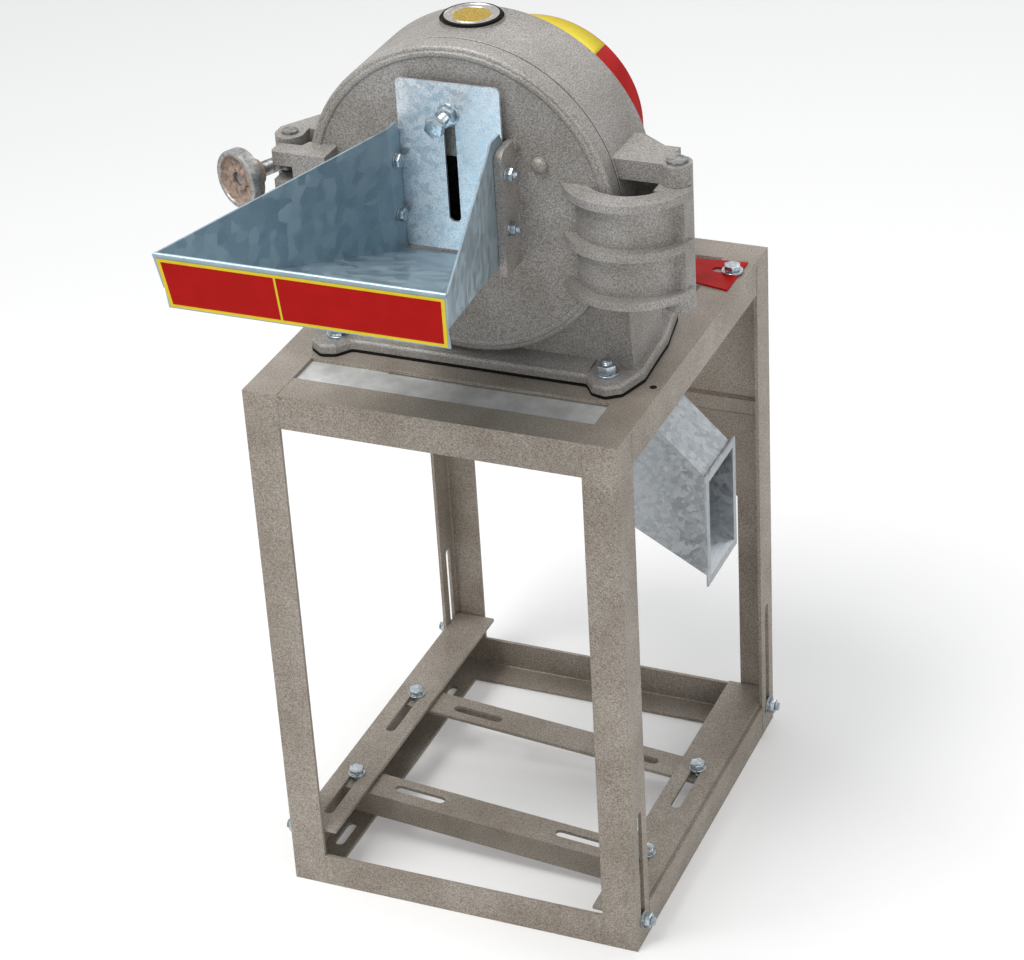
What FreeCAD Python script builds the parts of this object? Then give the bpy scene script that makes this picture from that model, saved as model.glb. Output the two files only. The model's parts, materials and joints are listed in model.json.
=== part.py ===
import FreeCAD, Part
import math
import os

import Sketcher

os.makedirs("parts", exist_ok=True)

# Claw mill on an angle-iron stand, in millimetres.
# Origin: middle of the stand on the floor. +X is the discharge side, -Y is the feeding side, +Z is up.

doc = FreeCAD.newDocument("spice_grinder")
sheet = doc.addObject("Spreadsheet::Sheet", "sizes")
V = FreeCAD.Vector


class Size:
    """A number that remembers the sheet expression it comes from."""

    def __init__(self, value, text):
        self.value = float(value)
        self.text = text

    def join(self, other, sign, swap=False):
        a, b = (sized(other), self) if swap else (self, sized(other))
        result = {"+": a.value + b.value, "-": a.value - b.value, "*": a.value * b.value}.get(sign)
        if result is None:
            result = a.value / b.value
        return Size(result, f"({a.text} {sign} {b.text})")

    def __add__(self, other):
        return self.join(other, "+")

    def __radd__(self, other):
        return self.join(other, "+", True)

    def __sub__(self, other):
        return self.join(other, "-")

    def __rsub__(self, other):
        return self.join(other, "-", True)

    def __mul__(self, other):
        return self.join(other, "*")

    def __rmul__(self, other):
        return self.join(other, "*", True)

    def __truediv__(self, other):
        return self.join(other, "/")

    def __neg__(self):
        return self.join(-1, "*")


def sized(value):
    return value if isinstance(value, Size) else Size(value, repr(float(value)))


row = 0


def cell(alias, value):
    """One driving dimension, kept in the sheet."""
    global row
    row += 1
    sheet.set(f"A{row}", alias)
    sheet.set(f"B{row}", str(value))
    sheet.setAlias(f"B{row}", alias)
    return Size(value, "sizes." + alias)


# Driving dimensions: the stand
width = cell("stand_width", 420)
depth = cell("stand_depth", 475)
height = cell("stand_height", 640)
leg = cell("angle_leg", 40)
wall = cell("angle_wall", 4)
root = cell("angle_root_radius", 1.5)
leg_slot_low = cell("leg_slot_low", 25)
leg_slot_high = cell("leg_slot_high", 176)
slot_wide = cell("leg_slot_width", 12)
floor_slot_long = cell("floor_slot_length", 45)
floor_slot_at = cell("floor_slot_at", 149)
mill_rail_leg = cell("mill_rail_leg", 50)
mill_rail_front = cell("mill_rail_front_edge", -151.5)
mill_rail_rear = cell("mill_rail_rear_edge", 70)
gauge = cell("sheet_gauge", 1.5)
rear_panel_low = height - cell("rear_panel_drop", 328)
rear_fold_low = height - cell("rear_fold_low_drop", 216)
rear_fold_high = height - cell("rear_fold_high_drop", 192)
apron_gauge = cell("apron_gauge", 1)
lap_front = cell("apron_lap_front_x", -14)
lap_rear = cell("apron_lap_rear_x", -79)

# The mill casing and its door
drum_r = cell("drum_radius", 170)
axis_z = height + drum_r + cell("drum_above_frame", 20)
drum_back = cell("drum_back", -8)
parting = cell("parting_line", -97)
chamber_r = cell("chamber_radius", 156)
casting = cell("casting_wall", 12)
pedestal_half = drum_r + cell("pedestal_beyond_drum", 6)
base_thick = cell("base_flange_thickness", 14)
base_front = cell("base_front_edge", -126)
foot_x = drum_r - cell("foot_front_inset", 16)
foot_y = cell("foot_front_y", -118)
foot_rear_x = drum_r - cell("foot_rear_inset", 24)
foot_rear_y = cell("foot_rear_y", 43)
foot_bolt = cell("foot_bolt_thread", 12)
outlet_half = cell("casing_outlet_half", 128)
housing_r = cell("bearing_housing_radius", 48)
badge_x = cell("badge_x", -8)
badge_y = cell("badge_y", -42)
badge_r = cell("badge_radius", 31.5)
housing_end = cell("bearing_housing_end", 56)
bearing_r = cell("bearing_outer_radius", 36)
bearing_wide = cell("bearing_width", 17)
shaft_r = cell("shaft_radius", 17.5)
shaft_end = cell("shaft_end", 128)
run_fit = cell("running_fit", 0.06)
door_thick = cell("door_thickness", 23)
door_round = cell("door_rim_round", 4)
rim_bead = cell("door_rim_bead", 1.6)
rim_groove = cell("parting_groove", 2.5)
hinge_x = drum_r + cell("hinge_axis_beyond_drum", 55)
hinge_y = cell("hinge_axis_y", -86)
hinge_r = cell("hinge_barrel_radius", 16)
pin_r = cell("hinge_pin_radius", 8)
barrel_low = axis_z + cell("hinge_barrel_bottom", -80)
barrel_high = axis_z + cell("hinge_barrel_top", 36)
ear_thick = cell("hinge_ear_thickness", 22)
rib_r = cell("hinge_rib_radius", 70)
web_r = cell("hinge_web_radius", 58)
web_wall = cell("hinge_web_wall", 12)
rib_thick = cell("hinge_rib_thickness", 9)
arc_x = drum_r + cell("hinge_arc_beyond_drum", 6)
face_gap = cell("seated_gap", 0.3)

# The inlet, the gate and the tray
cheek_half = cell("inlet_half_width", 58)
cheek_wall = cell("inlet_cheek_wall", 8)
cheek_reach = cell("inlet_cheek_reach", 38)
cheek_low = axis_z + cell("inlet_cheek_bottom", -58)
cheek_high = axis_z + cell("inlet_cheek_top", 78)
mouth_half = cell("feed_mouth_half_width", 50)
mouth_low = axis_z + cell("feed_mouth_bottom", -50)
mouth_high = axis_z + cell("feed_mouth_top", 51)
gate_wide = cell("gate_width", 113)
gate_low = axis_z + cell("gate_bottom", -49)
gate_high = axis_z + cell("gate_top", 135)
gate_gauge = cell("gate_gauge", 3)
gate_slot_low = axis_z + cell("gate_slot_bottom", -17)
gate_slot_high = axis_z + cell("gate_slot_top", 111)
gate_bolt_z = axis_z + cell("gate_bolt_height", 102)
boss_reach = cell("gate_boss_reach", 8)
tray_gauge = cell("tray_gauge", 2)
tray_top = axis_z + cell("tray_top", 90)
tray_door_floor = axis_z + cell("tray_floor_at_door", -54)
tray_bend_floor = axis_z + cell("tray_floor_at_bend", -47)
tray_front_floor = axis_z + cell("tray_floor_at_front", 52)
tray_lip_y = cell("tray_lip_y", -478)
tray_front_y = cell("tray_fascia_foot_y", -471.5)
tray_apron = cell("tray_apron_drop", 22)
tray_lip_half = cell("tray_lip_half_width", 150)
tray_foot_half = cell("tray_fascia_half_width", 145.5)
tray_bolt_low = axis_z + cell("tray_bolt_low", -9)
tray_bolt_high = axis_z + cell("tray_bolt_high", 51)
tray_bolt = cell("tray_bolt_thread", 8)

# The grinding parts
rotor_r = cell("rotor_radius", 112)
rotor_thick = cell("rotor_thickness", 12)
rotor_front = cell("rotor_front", -50)
claw_reach = cell("rotor_claw_reach", 24)
row_pitch = cell("claw_row_pitch", 24)
first_row = cell("rotor_first_row", 56)
hold_r = cell("door_bolt_circle", 106)
claw_wide = cell("claw_width", 8)
claw_long = cell("claw_length", 16)
screen_r = cell("screen_radius", 128)
screen_wall = cell("screen_wall", 2)
screen_slots = cell("screen_slot_count", 40)
fixed_r = cell("fixed_disc_radius", 116)
fixed_thick = cell("fixed_disc_thickness", 10)
fixed_reach = cell("fixed_claw_reach", 27)
pulley_r = cell("pulley_radius", 72)
pulley_y = cell("pulley_front", 70)
pulley_wide = cell("pulley_width", 44)

# The latch
latch_x = -drum_r - cell("latch_pin_beyond_drum", 22)
latch_y = cell("latch_pin_y", -110)
latch_z = axis_z + cell("latch_bolt_height", 22)
latch_angle = cell("latch_rest_angle", 25)
bolt_r = cell("swing_bolt_radius", 8)
bolt_long = cell("swing_bolt_length", 70)
eye_thick = cell("swing_bolt_eye", 20)
wheel_r = cell("handwheel_radius", 31.5)
wheel_at = cell("handwheel_hub_at", 46)

# The discharge chute
duct_back = cell("duct_back", -22)
duct_out = cell("duct_outlet_x", 256)
duct_top = height - cell("duct_outlet_top_below", 105)
duct_low = height - cell("duct_outlet_bottom_below", 225)
duct_gauge = cell("duct_gauge", 2)
duct_lip = cell("duct_lip", 7)
knee_x = cell("duct_knee_x", 173)
bend_x = cell("duct_bend_x", 110)
start_x = cell("duct_start_x", -144)
cover_x = cell("duct_cover_x", 165)
bend_z = height - cell("duct_bend_z_drop", 110)
knee_z = height - cell("duct_knee_z_drop", 178)

# The belt guard
guard_r = cell("guard_radius", 112)
guard_front = cell("guard_front", 62)
guard_back = cell("guard_back", 118)
tab_x1 = cell("guard_tab_left", 144)
tab_x2 = cell("guard_tab_right", 202)
guard_bolt_x = cell("guard_bolt_x", 193)
guard_bolt_y = cell("guard_bolt_y", 165)

# The motor carriage
side_rail_wide = cell("side_rail_width", 50)
side_rail_drop = cell("side_rail_depth", 40)
side_rail_top = cell("left_side_rail_top", 74)
rail_step = cell("side_rail_step", 28)
side_rail_half = cell("side_rail_half_length", 231.5)
clamp_x = cell("clamp_bolt_x", 180)
clamp_front = cell("clamp_front_y", -123)
clamp_rear = cell("clamp_rear_y", 48)
clamp_travel = cell("clamp_travel", 75)
clamp_bolt = cell("clamp_bolt_thread", 10)
bolt_drop = cell("leg_bolt_below_rail_top", 15)
cross_half = cell("cross_rail_half_length", 190)
cross_drop = cell("cross_rail_depth", 30)
motor_slot = cell("motor_slot_length", 62)
motor_slot_x = cell("motor_slot_at", 100)
doc.recompute()

nodes = {}


def bind(obj, **sizes):
    for prop, size in sizes.items():
        size = sized(size)
        setattr(obj, prop, size.value)
        if "sizes." in size.text:
            obj.setExpression(prop, size.text)
    return obj


def move(obj, x=0, y=0, z=0, axis=(0, 0, 1), angle=0):
    obj.Placement = FreeCAD.Placement(V(0, 0, 0), FreeCAD.Rotation(V(*axis), angle))
    for name, size in (("x", x), ("y", y), ("z", z)):
        size = sized(size)
        setattr(obj.Placement.Base, name, size.value)
        obj.setExpression("Placement.Base." + name, size.text)
    return obj


def box(x1, x2, y1, y2, z1, z2):
    solid = doc.addObject("Part::Box", "block")
    bind(solid, Length=sized(x2) - x1, Width=sized(y2) - y1, Height=sized(z2) - z1)
    return move(solid, x1, y1, z1)


def rod(radius, length, x, y, z, along="z"):
    """A cylinder that starts at x, y, z and runs along +X, +Y or +Z."""
    solid = doc.addObject("Part::Cylinder", "rod")
    bind(solid, Radius=radius, Height=length)
    turn = {"x": ((0, 1, 0), 90), "y": ((1, 0, 0), -90), "z": ((0, 0, 1), 0)}[along]
    return move(solid, x, y, z, *turn)


def hexagon(flats, length, x, y, z, along="z"):
    solid = doc.addObject("Part::Prism", "hexagon")
    bind(solid, Circumradius=sized(flats) / math.sqrt(3), Height=length)
    turn = {"x": ((0, 1, 0), 90), "y": ((1, 0, 0), -90), "z": ((0, 0, 1), 0)}[along]
    return move(solid, x, y, z, *turn)


def outline(points, plane="xy"):
    """A closed sketch through the points; every coordinate is held by the sheet."""
    sketch = doc.addObject("Sketcher::SketchObject", "outline")
    points = [(sized(a), sized(b)) for a, b in points]
    count = len(points)
    for i in range(count):
        start = points[i]
        end = points[(i + 1) % count]
        sketch.addGeometry(Part.LineSegment(V(start[0].value, start[1].value), V(end[0].value, end[1].value)))
    for i in range(count):
        sketch.addConstraint(Sketcher.Constraint("Coincident", i, 2, (i + 1) % count, 1))
    for i, point in enumerate(points):
        for kind, size in zip(("DistanceX", "DistanceY"), point):
            index = sketch.addConstraint(Sketcher.Constraint(kind, i, 1, size.value))
            if "sizes." in size.text:
                sketch.setExpression(f"Constraints[{index}]", size.text)
    if plane == "xz":
        sketch.Placement = FreeCAD.Placement(V(0, 0, 0), FreeCAD.Rotation(V(1, 0, 0), 90))
    if plane == "yz":
        sketch.Placement = FreeCAD.Placement(V(0, 0, 0), FreeCAD.Rotation(V(1, 1, 1), 120))
    return sketch


def prism(points, plane, start, end):
    """The outline drawn out between two levels along the plane's normal axis."""
    solid = doc.addObject("Part::Extrusion", "prism")
    solid.Base = outline(points, plane)
    solid.DirMode = "Custom"
    solid.Dir = {"xy": V(0, 0, 1), "xz": V(0, 1, 0), "yz": V(1, 0, 0)}[plane]
    solid.Solid = True
    bind(solid, LengthFwd=sized(end) - start)
    offset = {"xy": (0, 0, start), "xz": (0, start, 0), "yz": (start, 0, 0)}[plane]
    return move(solid, *offset)


def turned(points, x=0, y=0, z=0):
    """A profile of (radius, y) points turned round the mill's axis."""
    solid = doc.addObject("Part::Revolution", "turned")
    solid.Source = outline(points, "xy")
    solid.Axis = V(0, 1, 0)
    solid.Angle = 360
    solid.Solid = True
    return move(solid, x, y, z)


def ring(outer, inner, start, end, x, y, z, along="z"):
    if along == "z":
        return cut(rod(outer, sized(end) - start, x, y, start),
                   rod(inner, sized(end) - start + 2, x, y, sized(start) - 1))
    return cut(rod(outer, sized(end) - start, x, start, z, "y"),
               rod(inner, sized(end) - start + 2, x, sized(start) - 1, z, "y"))


def slot(length, wide, deep, x, y, z, run="x", through="z"):
    """A stadium-shaped cutter centred on x, y, z."""
    half = (sized(length) - wide) / 2
    x, y, z = sized(x), sized(y), sized(z)
    r = sized(wide) / 2
    d = sized(deep) / 2
    reach = {"x": (half, 0, 0), "y": (0, half, 0), "z": (0, 0, half)}[run]
    side = {"x": (d, r, r), "y": (r, d, r), "z": (r, r, d)}[through]
    if run == "x":
        side = (half, side[1], side[2])
    if run == "y":
        side = (side[0], half, side[2])
    if run == "z":
        side = (side[0], side[1], half)
    pieces = [box(x - side[0], x + side[0], y - side[1], y + side[1], z - side[2], z + side[2])]
    for sign in (-1, 1):
        start = {"x": (x - d, y, z), "y": (x, y - d, z), "z": (x, y, z - d)}[through]
        moved = [sized(a) + sized(b) * sign for a, b in zip(start, reach)]
        pieces.append(rod(r, d * 2, *moved, through))
    return fuse(*pieces)


def fuse(*parts):
    solid = doc.addObject("Part::MultiFuse", "joined")
    solid.Shapes = list(parts)
    solid.Refine = True
    return solid


def cut(base, *tools):
    solid = doc.addObject("Part::Cut", "cut")
    solid.Base = base
    solid.Tool = fuse(*tools) if len(tools) > 1 else tools[0]
    solid.Refine = True
    return solid


def rounded(base, radius, wanted):
    """Fillet the edges whose midpoint and length pass the test."""
    doc.recompute()
    solid = doc.addObject("Part::Fillet", "rounded")
    solid.Base = base
    chosen = []
    for i, edge in enumerate(base.Shape.Edges, 1):
        if wanted(edge.CenterOfMass, edge):
            chosen.append((i, sized(radius).value, sized(radius).value))
    solid.Edges = chosen
    return solid


def group(*parts):
    solid = doc.addObject("Part::Compound", "set")
    solid.Links = list(parts)
    return solid


def node(name, solid):
    solid.Label = name
    nodes[name] = solid
    return solid


def upright(edge):
    return len(edge.Vertexes) == 2 and abs(edge.tangentAt(edge.FirstParameter).z) > 0.999


# The stand: four legs of angle iron
half_w = width / 2
half_d = depth / 2


def angle_profile(sign_a, sign_b, a0, b0, long_a, long_b, thick):
    """The six corners of an angle section with its heel at a0, b0."""
    a0, b0 = sized(a0), sized(b0)
    return [(a0, b0), (a0 + long_a * sign_a, b0), (a0 + long_a * sign_a, b0 + thick * sign_b),
            (a0 + thick * sign_a, b0 + thick * sign_b), (a0 + thick * sign_a, b0 + long_b * sign_b),
            (a0, b0 + long_b * sign_b)]


def angle_bar(plane, start, end, sign_a, sign_b, a0, b0, long_a, long_b, thick=wall):
    """Angle iron with the rolled radius in its root."""
    bar = prism(angle_profile(sign_a, sign_b, a0, b0, long_a, long_b, thick), plane, start, end)
    a = sized(a0).value + sized(thick).value * sign_a
    b = sized(b0).value + sized(thick).value * sign_b
    axes = {"xy": ("x", "y"), "xz": ("x", "z"), "yz": ("y", "z")}[plane]

    def in_root(c, edge):
        return abs(getattr(c, axes[0]) - a) < 0.01 and abs(getattr(c, axes[1]) - b) < 0.01

    return rounded(bar, root, in_root)


side_bolt_y = half_d - leg / 2
for end, sy in (("front", -1), ("rear", 1)):
    for side, sx in (("left", -1), ("right", 1)):
        bar = angle_bar("xy", wall, height - wall, -sx, -sy, half_w * sx, half_d * sy, leg, leg)
        opening = slot(leg_slot_high - leg_slot_low, slot_wide, wall * 3, half_w * sx, side_bolt_y * sy,
                       (leg_slot_low + leg_slot_high) / 2, "z", "x")
        node(f"leg_{end}_{side}", cut(bar, opening))

# Side rails run full length, with their upright flange cut back for the legs
for side, sx in (("left", -1), ("right", 1)):
    top = angle_bar("xz", -half_d, half_d, -sx, -1, half_w * sx, height, leg, leg)
    base = angle_bar("xz", -half_d, half_d, -sx, 1, half_w * sx, 0, leg, leg)
    x1, x2 = (half_w * sx - wall * 3, half_w * sx + wall * 3)
    ends = [(-half_d - 1, -half_d + leg), (half_d - leg, half_d + 1)]
    top_cuts = [box(x1, x2, y1, y2, height - leg - 1, height - wall) for y1, y2 in ends]
    if side == "right":
        top_cuts.append(rod(5.5, 12, guard_bolt_x, guard_bolt_y, height - 8))
    node(f"top_rail_{side}", cut(top, *top_cuts))
    slots = [slot(floor_slot_long, slot_wide, wall * 3, (half_w - wall - 18) * sx, floor_slot_at * s, 0, "y")
             for s in (-1, 1)]
    node(f"base_rail_{side}", cut(base, *[box(x1, x2, y1, y2, wall, leg + 1) for y1, y2 in ends], *slots))

for end, sy in (("front", -1), ("rear", 1)):
    inner = half_w - leg
    node(f"top_rail_{end}", angle_bar("yz", -inner, inner, -sy, -1, half_d * sy, height, leg, leg))
    node(f"base_rail_{end}", angle_bar("yz", -inner, inner, -sy, 1, half_d * sy, 0, leg, leg))

# Two rails across the top carry the mill
foot_hole = foot_bolt / 2 + 1
inner = half_w - leg
duct_front = mill_rail_front + mill_rail_leg
rivet_spots = [(x, height - 25) for x in (-60, 60)]
front_rail = angle_bar("yz", -inner, inner, -1, -1, mill_rail_front + mill_rail_leg, height, mill_rail_leg,
                       mill_rail_leg)
rear_rail = angle_bar("yz", -inner, inner, -1, -1, mill_rail_rear, height, mill_rail_leg, mill_rail_leg)
front_holes = [rod(foot_hole, wall + 2, foot_x * s, foot_y, height - wall - 1) for s in (-1, 1)]
front_holes += [rod(3.2, 12, x, duct_front - 8, z, "y") for x, z in rivet_spots]
rear_holes = [rod(foot_hole, wall + 2, foot_rear_x * s, foot_rear_y, height - wall - 1) for s in (-1, 1)]
node("mill_rail_front", cut(front_rail, *front_holes))
node("mill_rail_rear", cut(rear_rail, *rear_holes))

# Infill sheets under the top rails, in front of the mill; the left one laps over the right one
apron_y1 = -half_d + leg - 22
apron_y2 = mill_rail_front + 24
apron_top = height - wall
node("infill_sheet_left", prism([(-inner, apron_y1), (lap_front + 32, apron_y1), (lap_rear - 38, apron_y2),
                                 (-inner, apron_y2)],
                                "xy", apron_top - apron_gauge, apron_top))
node("infill_sheet_right", prism([(lap_front + 2, apron_y1), (inner, apron_y1), (inner, apron_y2),
                                  (lap_rear - 68, apron_y2)],
                                 "xy", apron_top - apron_gauge * 2, apron_top - apron_gauge))

# Rear panel with one stiffening fold
panel_y = half_d - wall
panel_top = height - wall - root - face_gap
fold = 4
panel = prism([(panel_y, rear_panel_low), (panel_y, rear_fold_low), (panel_y - fold, rear_fold_low + fold),
               (panel_y - fold, rear_fold_high - fold), (panel_y, rear_fold_high), (panel_y, panel_top),
               (panel_y - gauge, panel_top), (panel_y - gauge, rear_fold_high + 0.6),
               (panel_y - fold - gauge, rear_fold_high - fold + 0.6),
               (panel_y - fold - gauge, rear_fold_low + fold - 0.6),
               (panel_y - gauge, rear_fold_low - 0.6), (panel_y - gauge, rear_panel_low)],
              "yz", -half_w + wall + root, half_w - wall - root)
node("rear_panel", panel)

# The mill casing: drum, pedestal and base in one casting
drum = rod(drum_r, drum_back - parting, 0, parting, axis_z, "y")
base_top = height + base_thick
pedestal = prism([(-pedestal_half, height), (pedestal_half, height), (drum_r - 3, axis_z),
                  (-drum_r + 3, axis_z)],
                 "xz", parting, drum_back)
lobe = [(foot_x - 20, foot_y - 8), (foot_x - 8, foot_y - 24), (foot_x + 8, foot_y - 28),
        (foot_x + 23, foot_y - 17),
        (foot_x + 34, foot_y + 20), (foot_rear_x + 40, foot_y + 54), (foot_rear_x + 38, foot_rear_y - 61),
        (foot_rear_x + 27, foot_rear_y), (foot_rear_x + 16, foot_rear_y + 17),
        (foot_rear_x - 14, foot_rear_y + 17),
        (foot_rear_x - 28, foot_rear_y - 9)]
base_points = lobe + [(-x, y) for x, y in reversed(lobe)]
base_plate = rounded(prism(base_points, "xy", height, base_top), 6, lambda c, e: upright(e))
base_plate = rounded(base_plate, 4, lambda c, e: abs(c.z - base_top.value) < 0.01)
shelf = prism([(parting + 1, axis_z - drum_r - 1.5), (parting + 1, base_top - 1),
               (base_front + 5, base_top - 1),
               (base_front + 5, base_top)], "yz", -foot_x + 20, foot_x - 20)
housing = rod(housing_r, housing_end - drum_back + 1, 0, drum_back - 1, axis_z, "y")
stiffener = prism([(drum_back - 1, height + 2), (housing_end - 20, height + 2), (housing_end - 6, axis_z),
                   (drum_back - 1, axis_z)],
                  "yz", -8, 8)
wing = prism([(-drum_r + 36, drum_back - 1), (drum_r - 36, drum_back - 1), (housing_r - 4, housing_end - 12),
              (-housing_r + 4, housing_end - 12)], "xy", axis_z - 7, axis_z + 7)
mast = prism([(drum_back - 1, axis_z), (housing_end - 12, axis_z), (housing_end - 12, axis_z + 40),
              (drum_back - 1, axis_z + drum_r - 36)],
             "yz", -7, 7)


def ear(z1, z2):
    """A hinge ear reaching out of the casing to the pin."""
    plate = prism([(drum_r - 30, parting + 1.5), (hinge_x, parting + 1.5), (hinge_x + hinge_r, hinge_y),
                   (hinge_x, hinge_y + hinge_r),
                   (drum_r, hinge_y + 56), (drum_r - 30, hinge_y + 56)], "xy", z1, z2)
    return fuse(plate, rod(hinge_r, sized(z2) - z1, hinge_x, hinge_y, z1))


ear_low = ear(barrel_low - face_gap - ear_thick, barrel_low - face_gap)
ear_high = ear(barrel_high + face_gap, barrel_high + face_gap + ear_thick)

hinge_back = box(drum_r - 30, hinge_x - 8, hinge_y + hinge_r + 8, hinge_y + hinge_r + 18,
                 barrel_low - face_gap - ear_thick,
                 barrel_high + face_gap + ear_thick)


def latch_ear(z1, z2):
    plate = prism([(latch_x + 42, latch_y + 60), (latch_x + 42, parting + 1.5),
                   (latch_x + 15, parting + 1.5), (latch_x + 15, latch_y),
                   (latch_x - 16, latch_y), (latch_x - 16, latch_y + 12), (latch_x + 16, latch_y + 60)],
                   "xy", z1, z2)
    return fuse(plate, rod(16, sized(z2) - z1, latch_x, latch_y, z1))


eye_low = latch_z - eye_thick / 2
eye_high = latch_z + eye_thick / 2
latch_ears = [latch_ear(eye_low - face_gap - 18, eye_low - face_gap),
              latch_ear(eye_high + face_gap, eye_high + face_gap + 18)]
pad_top = axis_z + drum_r + 1
pad = rod(badge_r + 2, 14, badge_x, badge_y, pad_top - 14)

body = fuse(drum, pedestal, base_plate, shelf, housing, stiffener, wing, mast, ear_low, ear_high, hinge_back,
            *latch_ears, pad)
groove = turned([(drum_r - rim_groove, parting - 0.5), (drum_r + 1, parting - 0.5),
                 (drum_r + 1, parting + rim_groove)],
                0, 0, axis_z)
hollow = fuse(groove, rod(chamber_r, drum_back - casting - parting + 1, 0, parting - 1, axis_z, "y"),
              box(-outlet_half, outlet_half, parting + 8, drum_back - casting, height - 1, axis_z - 60),
              rod(bearing_r + run_fit, housing_end - drum_back + casting + 2, 0, drum_back - casting - 1,
                  axis_z, "y"),
              rod(pin_r + run_fit, barrel_high - barrel_low + ear_thick * 2 + 4, hinge_x, hinge_y,
                  barrel_low - ear_thick - 2),
              rod(6 + run_fit, eye_thick + 44, latch_x, latch_y, eye_low - 22),
              *[rod(foot_hole, base_thick + 2, foot_x * s, foot_y, height - 1) for s in (-1, 1)],
              *[rod(foot_hole, base_thick + 2, foot_rear_x * s, foot_rear_y, height - 1) for s in (-1, 1)])
spigot = ring(screen_r - face_gap, bearing_r + 20, drum_back - casting - 6, drum_back - casting + 1, 0, 0,
              axis_z, "y")
node("mill_casing", fuse(cut(body, hollow), spigot))

# Foot bolts: head, washer, shank, washer and nut
washer = 2.5


def bolt_set(thread, x, y, top, bottom, flats, washer_r):
    """A bolt clamped between two levels, with washers and a nut below."""
    thread = sized(thread)
    return fuse(hexagon(flats, thread * 0.63, x, y, sized(top) + washer), rod(washer_r, washer, x, y, top),
                rod(thread / 2, sized(top) - bottom + washer * 2 + thread, x, y,
                    sized(bottom) - washer - thread),
                rod(washer_r, washer, x, y, sized(bottom) - washer),
                hexagon(flats, thread * 0.8, x, y, sized(bottom) - washer - thread * 0.8))


feet = [(foot_x * s, foot_y) for s in (-1, 1)] + [(foot_rear_x * s, foot_rear_y) for s in (-1, 1)]
node("foot_bolts", group(*[bolt_set(foot_bolt, x, y, base_top, height - wall, 18, 9.8) for x, y in feet]))

# Bearings, their cover and the shaft
bore = shaft_r + run_fit
front_bearing = drum_back - casting + 8
node("bearing_front", ring(bearing_r, bore, front_bearing, front_bearing + bearing_wide, 0, 0, axis_z, "y"))
node("bearing_rear", ring(bearing_r, bore, housing_end - bearing_wide, housing_end, 0, 0, axis_z, "y"))
node("bearing_cover", ring(housing_r, shaft_r + 0.5, housing_end, housing_end + 5, 0, 0, axis_z, "y"))

rotor_back = rotor_front + rotor_thick
shaft = rod(shaft_r, shaft_end - rotor_back, 0, rotor_back, axis_z, "y")
nose = rod(shaft_r - 5.5, rotor_back - rotor_front + 13, 0, rotor_front - 12, axis_z, "y")
collar = rod(shaft_r + 6, front_bearing - rotor_back - 1, 0, rotor_back, axis_z, "y")
key_slot = box(-4, 4, pulley_y - 2, pulley_y + pulley_wide + 1, axis_z + shaft_r - 4, axis_z + shaft_r + 1)
tail = ring(shaft_r + 2, shaft_r - 5, pulley_y + pulley_wide, shaft_end + 1, 0, 0, axis_z, "y")
node("main_shaft", cut(fuse(shaft, nose, collar), key_slot, tail))

# The rotor: a disc with three rows of claws that pass between the rows of the fixed disc


def claw_row(radius, count, y1, y2):
    """Claws spaced evenly on one circle round the mill's axis."""
    claws = []
    for i in range(count):
        claw = prism([(radius - claw_wide / 2, -claw_long / 2), (radius + claw_wide / 2, -claw_long / 2 + 2),
                      (radius + claw_wide / 2, claw_long / 2 - 2), (radius - claw_wide / 2, claw_long / 2)],
                      "xz", 0, sized(y2) - y1)
        turn = doc.addObject("Part::Compound", "turn")
        turn.Links = [claw]
        claws.append(move(turn, 0, y1, axis_z, (0, 1, 0), 360 / count * i))
    return claws


disc = rod(rotor_r, rotor_thick, 0, rotor_front, axis_z, "y")
hub = rod(34, 10, 0, rotor_front - 5, axis_z, "y")
rotor_claws = []
for i, count in enumerate((6, 8, 12)):
    rotor_claws += claw_row(first_row + row_pitch * i - 6, count, rotor_front - claw_reach, rotor_front + 1)
bore_tool = rod(shaft_r - 5.5 + run_fit, 40, 0, rotor_front - 20, axis_z, "y")
node("rotor_disc", cut(fuse(disc, hub, *rotor_claws), bore_tool))
node("rotor_nut", cut(hexagon(36, 7, 0, rotor_front - 12, axis_z, "y"),
                      rod(shaft_r - 5.5 + run_fit, 12, 0, rotor_front - 14, axis_z, "y")))

# Fixed disc on the door, with its claws between the rotor's rows
fixed_back = parting + fixed_thick
fixed_claws = []
for i, count in enumerate((10, 14)):
    fixed_claws += claw_row(first_row + row_pitch * (i + 0.5) - 6, count, fixed_back - 1,
                            fixed_back + fixed_reach)
fixed_plate = ring(fixed_r, 44, parting, fixed_back, 0, 0, axis_z, "y")
holds = [(hold_r * math.cos(math.radians(a)), hold_r * math.sin(math.radians(a))) for a in (30, 150, 270)]
hold_holes = [rod(4.2, 40, x, parting - 1, axis_z + z, "y") for x, z in holds]
node("fixed_disc", cut(fuse(fixed_plate, *fixed_claws), *hold_holes))
node("fixed_disc_bolts", group(*[fuse(rod(4, door_thick + 7, x, parting - door_thick, axis_z + z, "y"),
                                      rod(9, 7, x, parting - door_thick - 7, axis_z + z, "y"))
                                 for x, z in holds]))

# The ring screen stands in the chamber round both discs
screen = ring(screen_r + screen_wall, screen_r, parting + face_gap, drum_back - casting, 0, 0, axis_z, "y")
hoops = [ring(screen_r + screen_wall + 4, screen_r, y, y + 6, 0, 0, axis_z, "y")
         for y in (parting + face_gap, drum_back - casting - 6)]
gap = 360 / int(screen_slots.value)
windows = []
for i in range(int(screen_slots.value)):
    window = box(screen_r - 4, screen_r + 8, 0, drum_back - casting - parting - 24, -3, 3)
    turn = doc.addObject("Part::Compound", "turn")
    turn.Links = [window]
    windows.append(move(turn, 0, parting + 12, axis_z, (0, 1, 0), gap * i))
node("ring_screen", cut(fuse(screen, *hoops), *windows))

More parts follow.
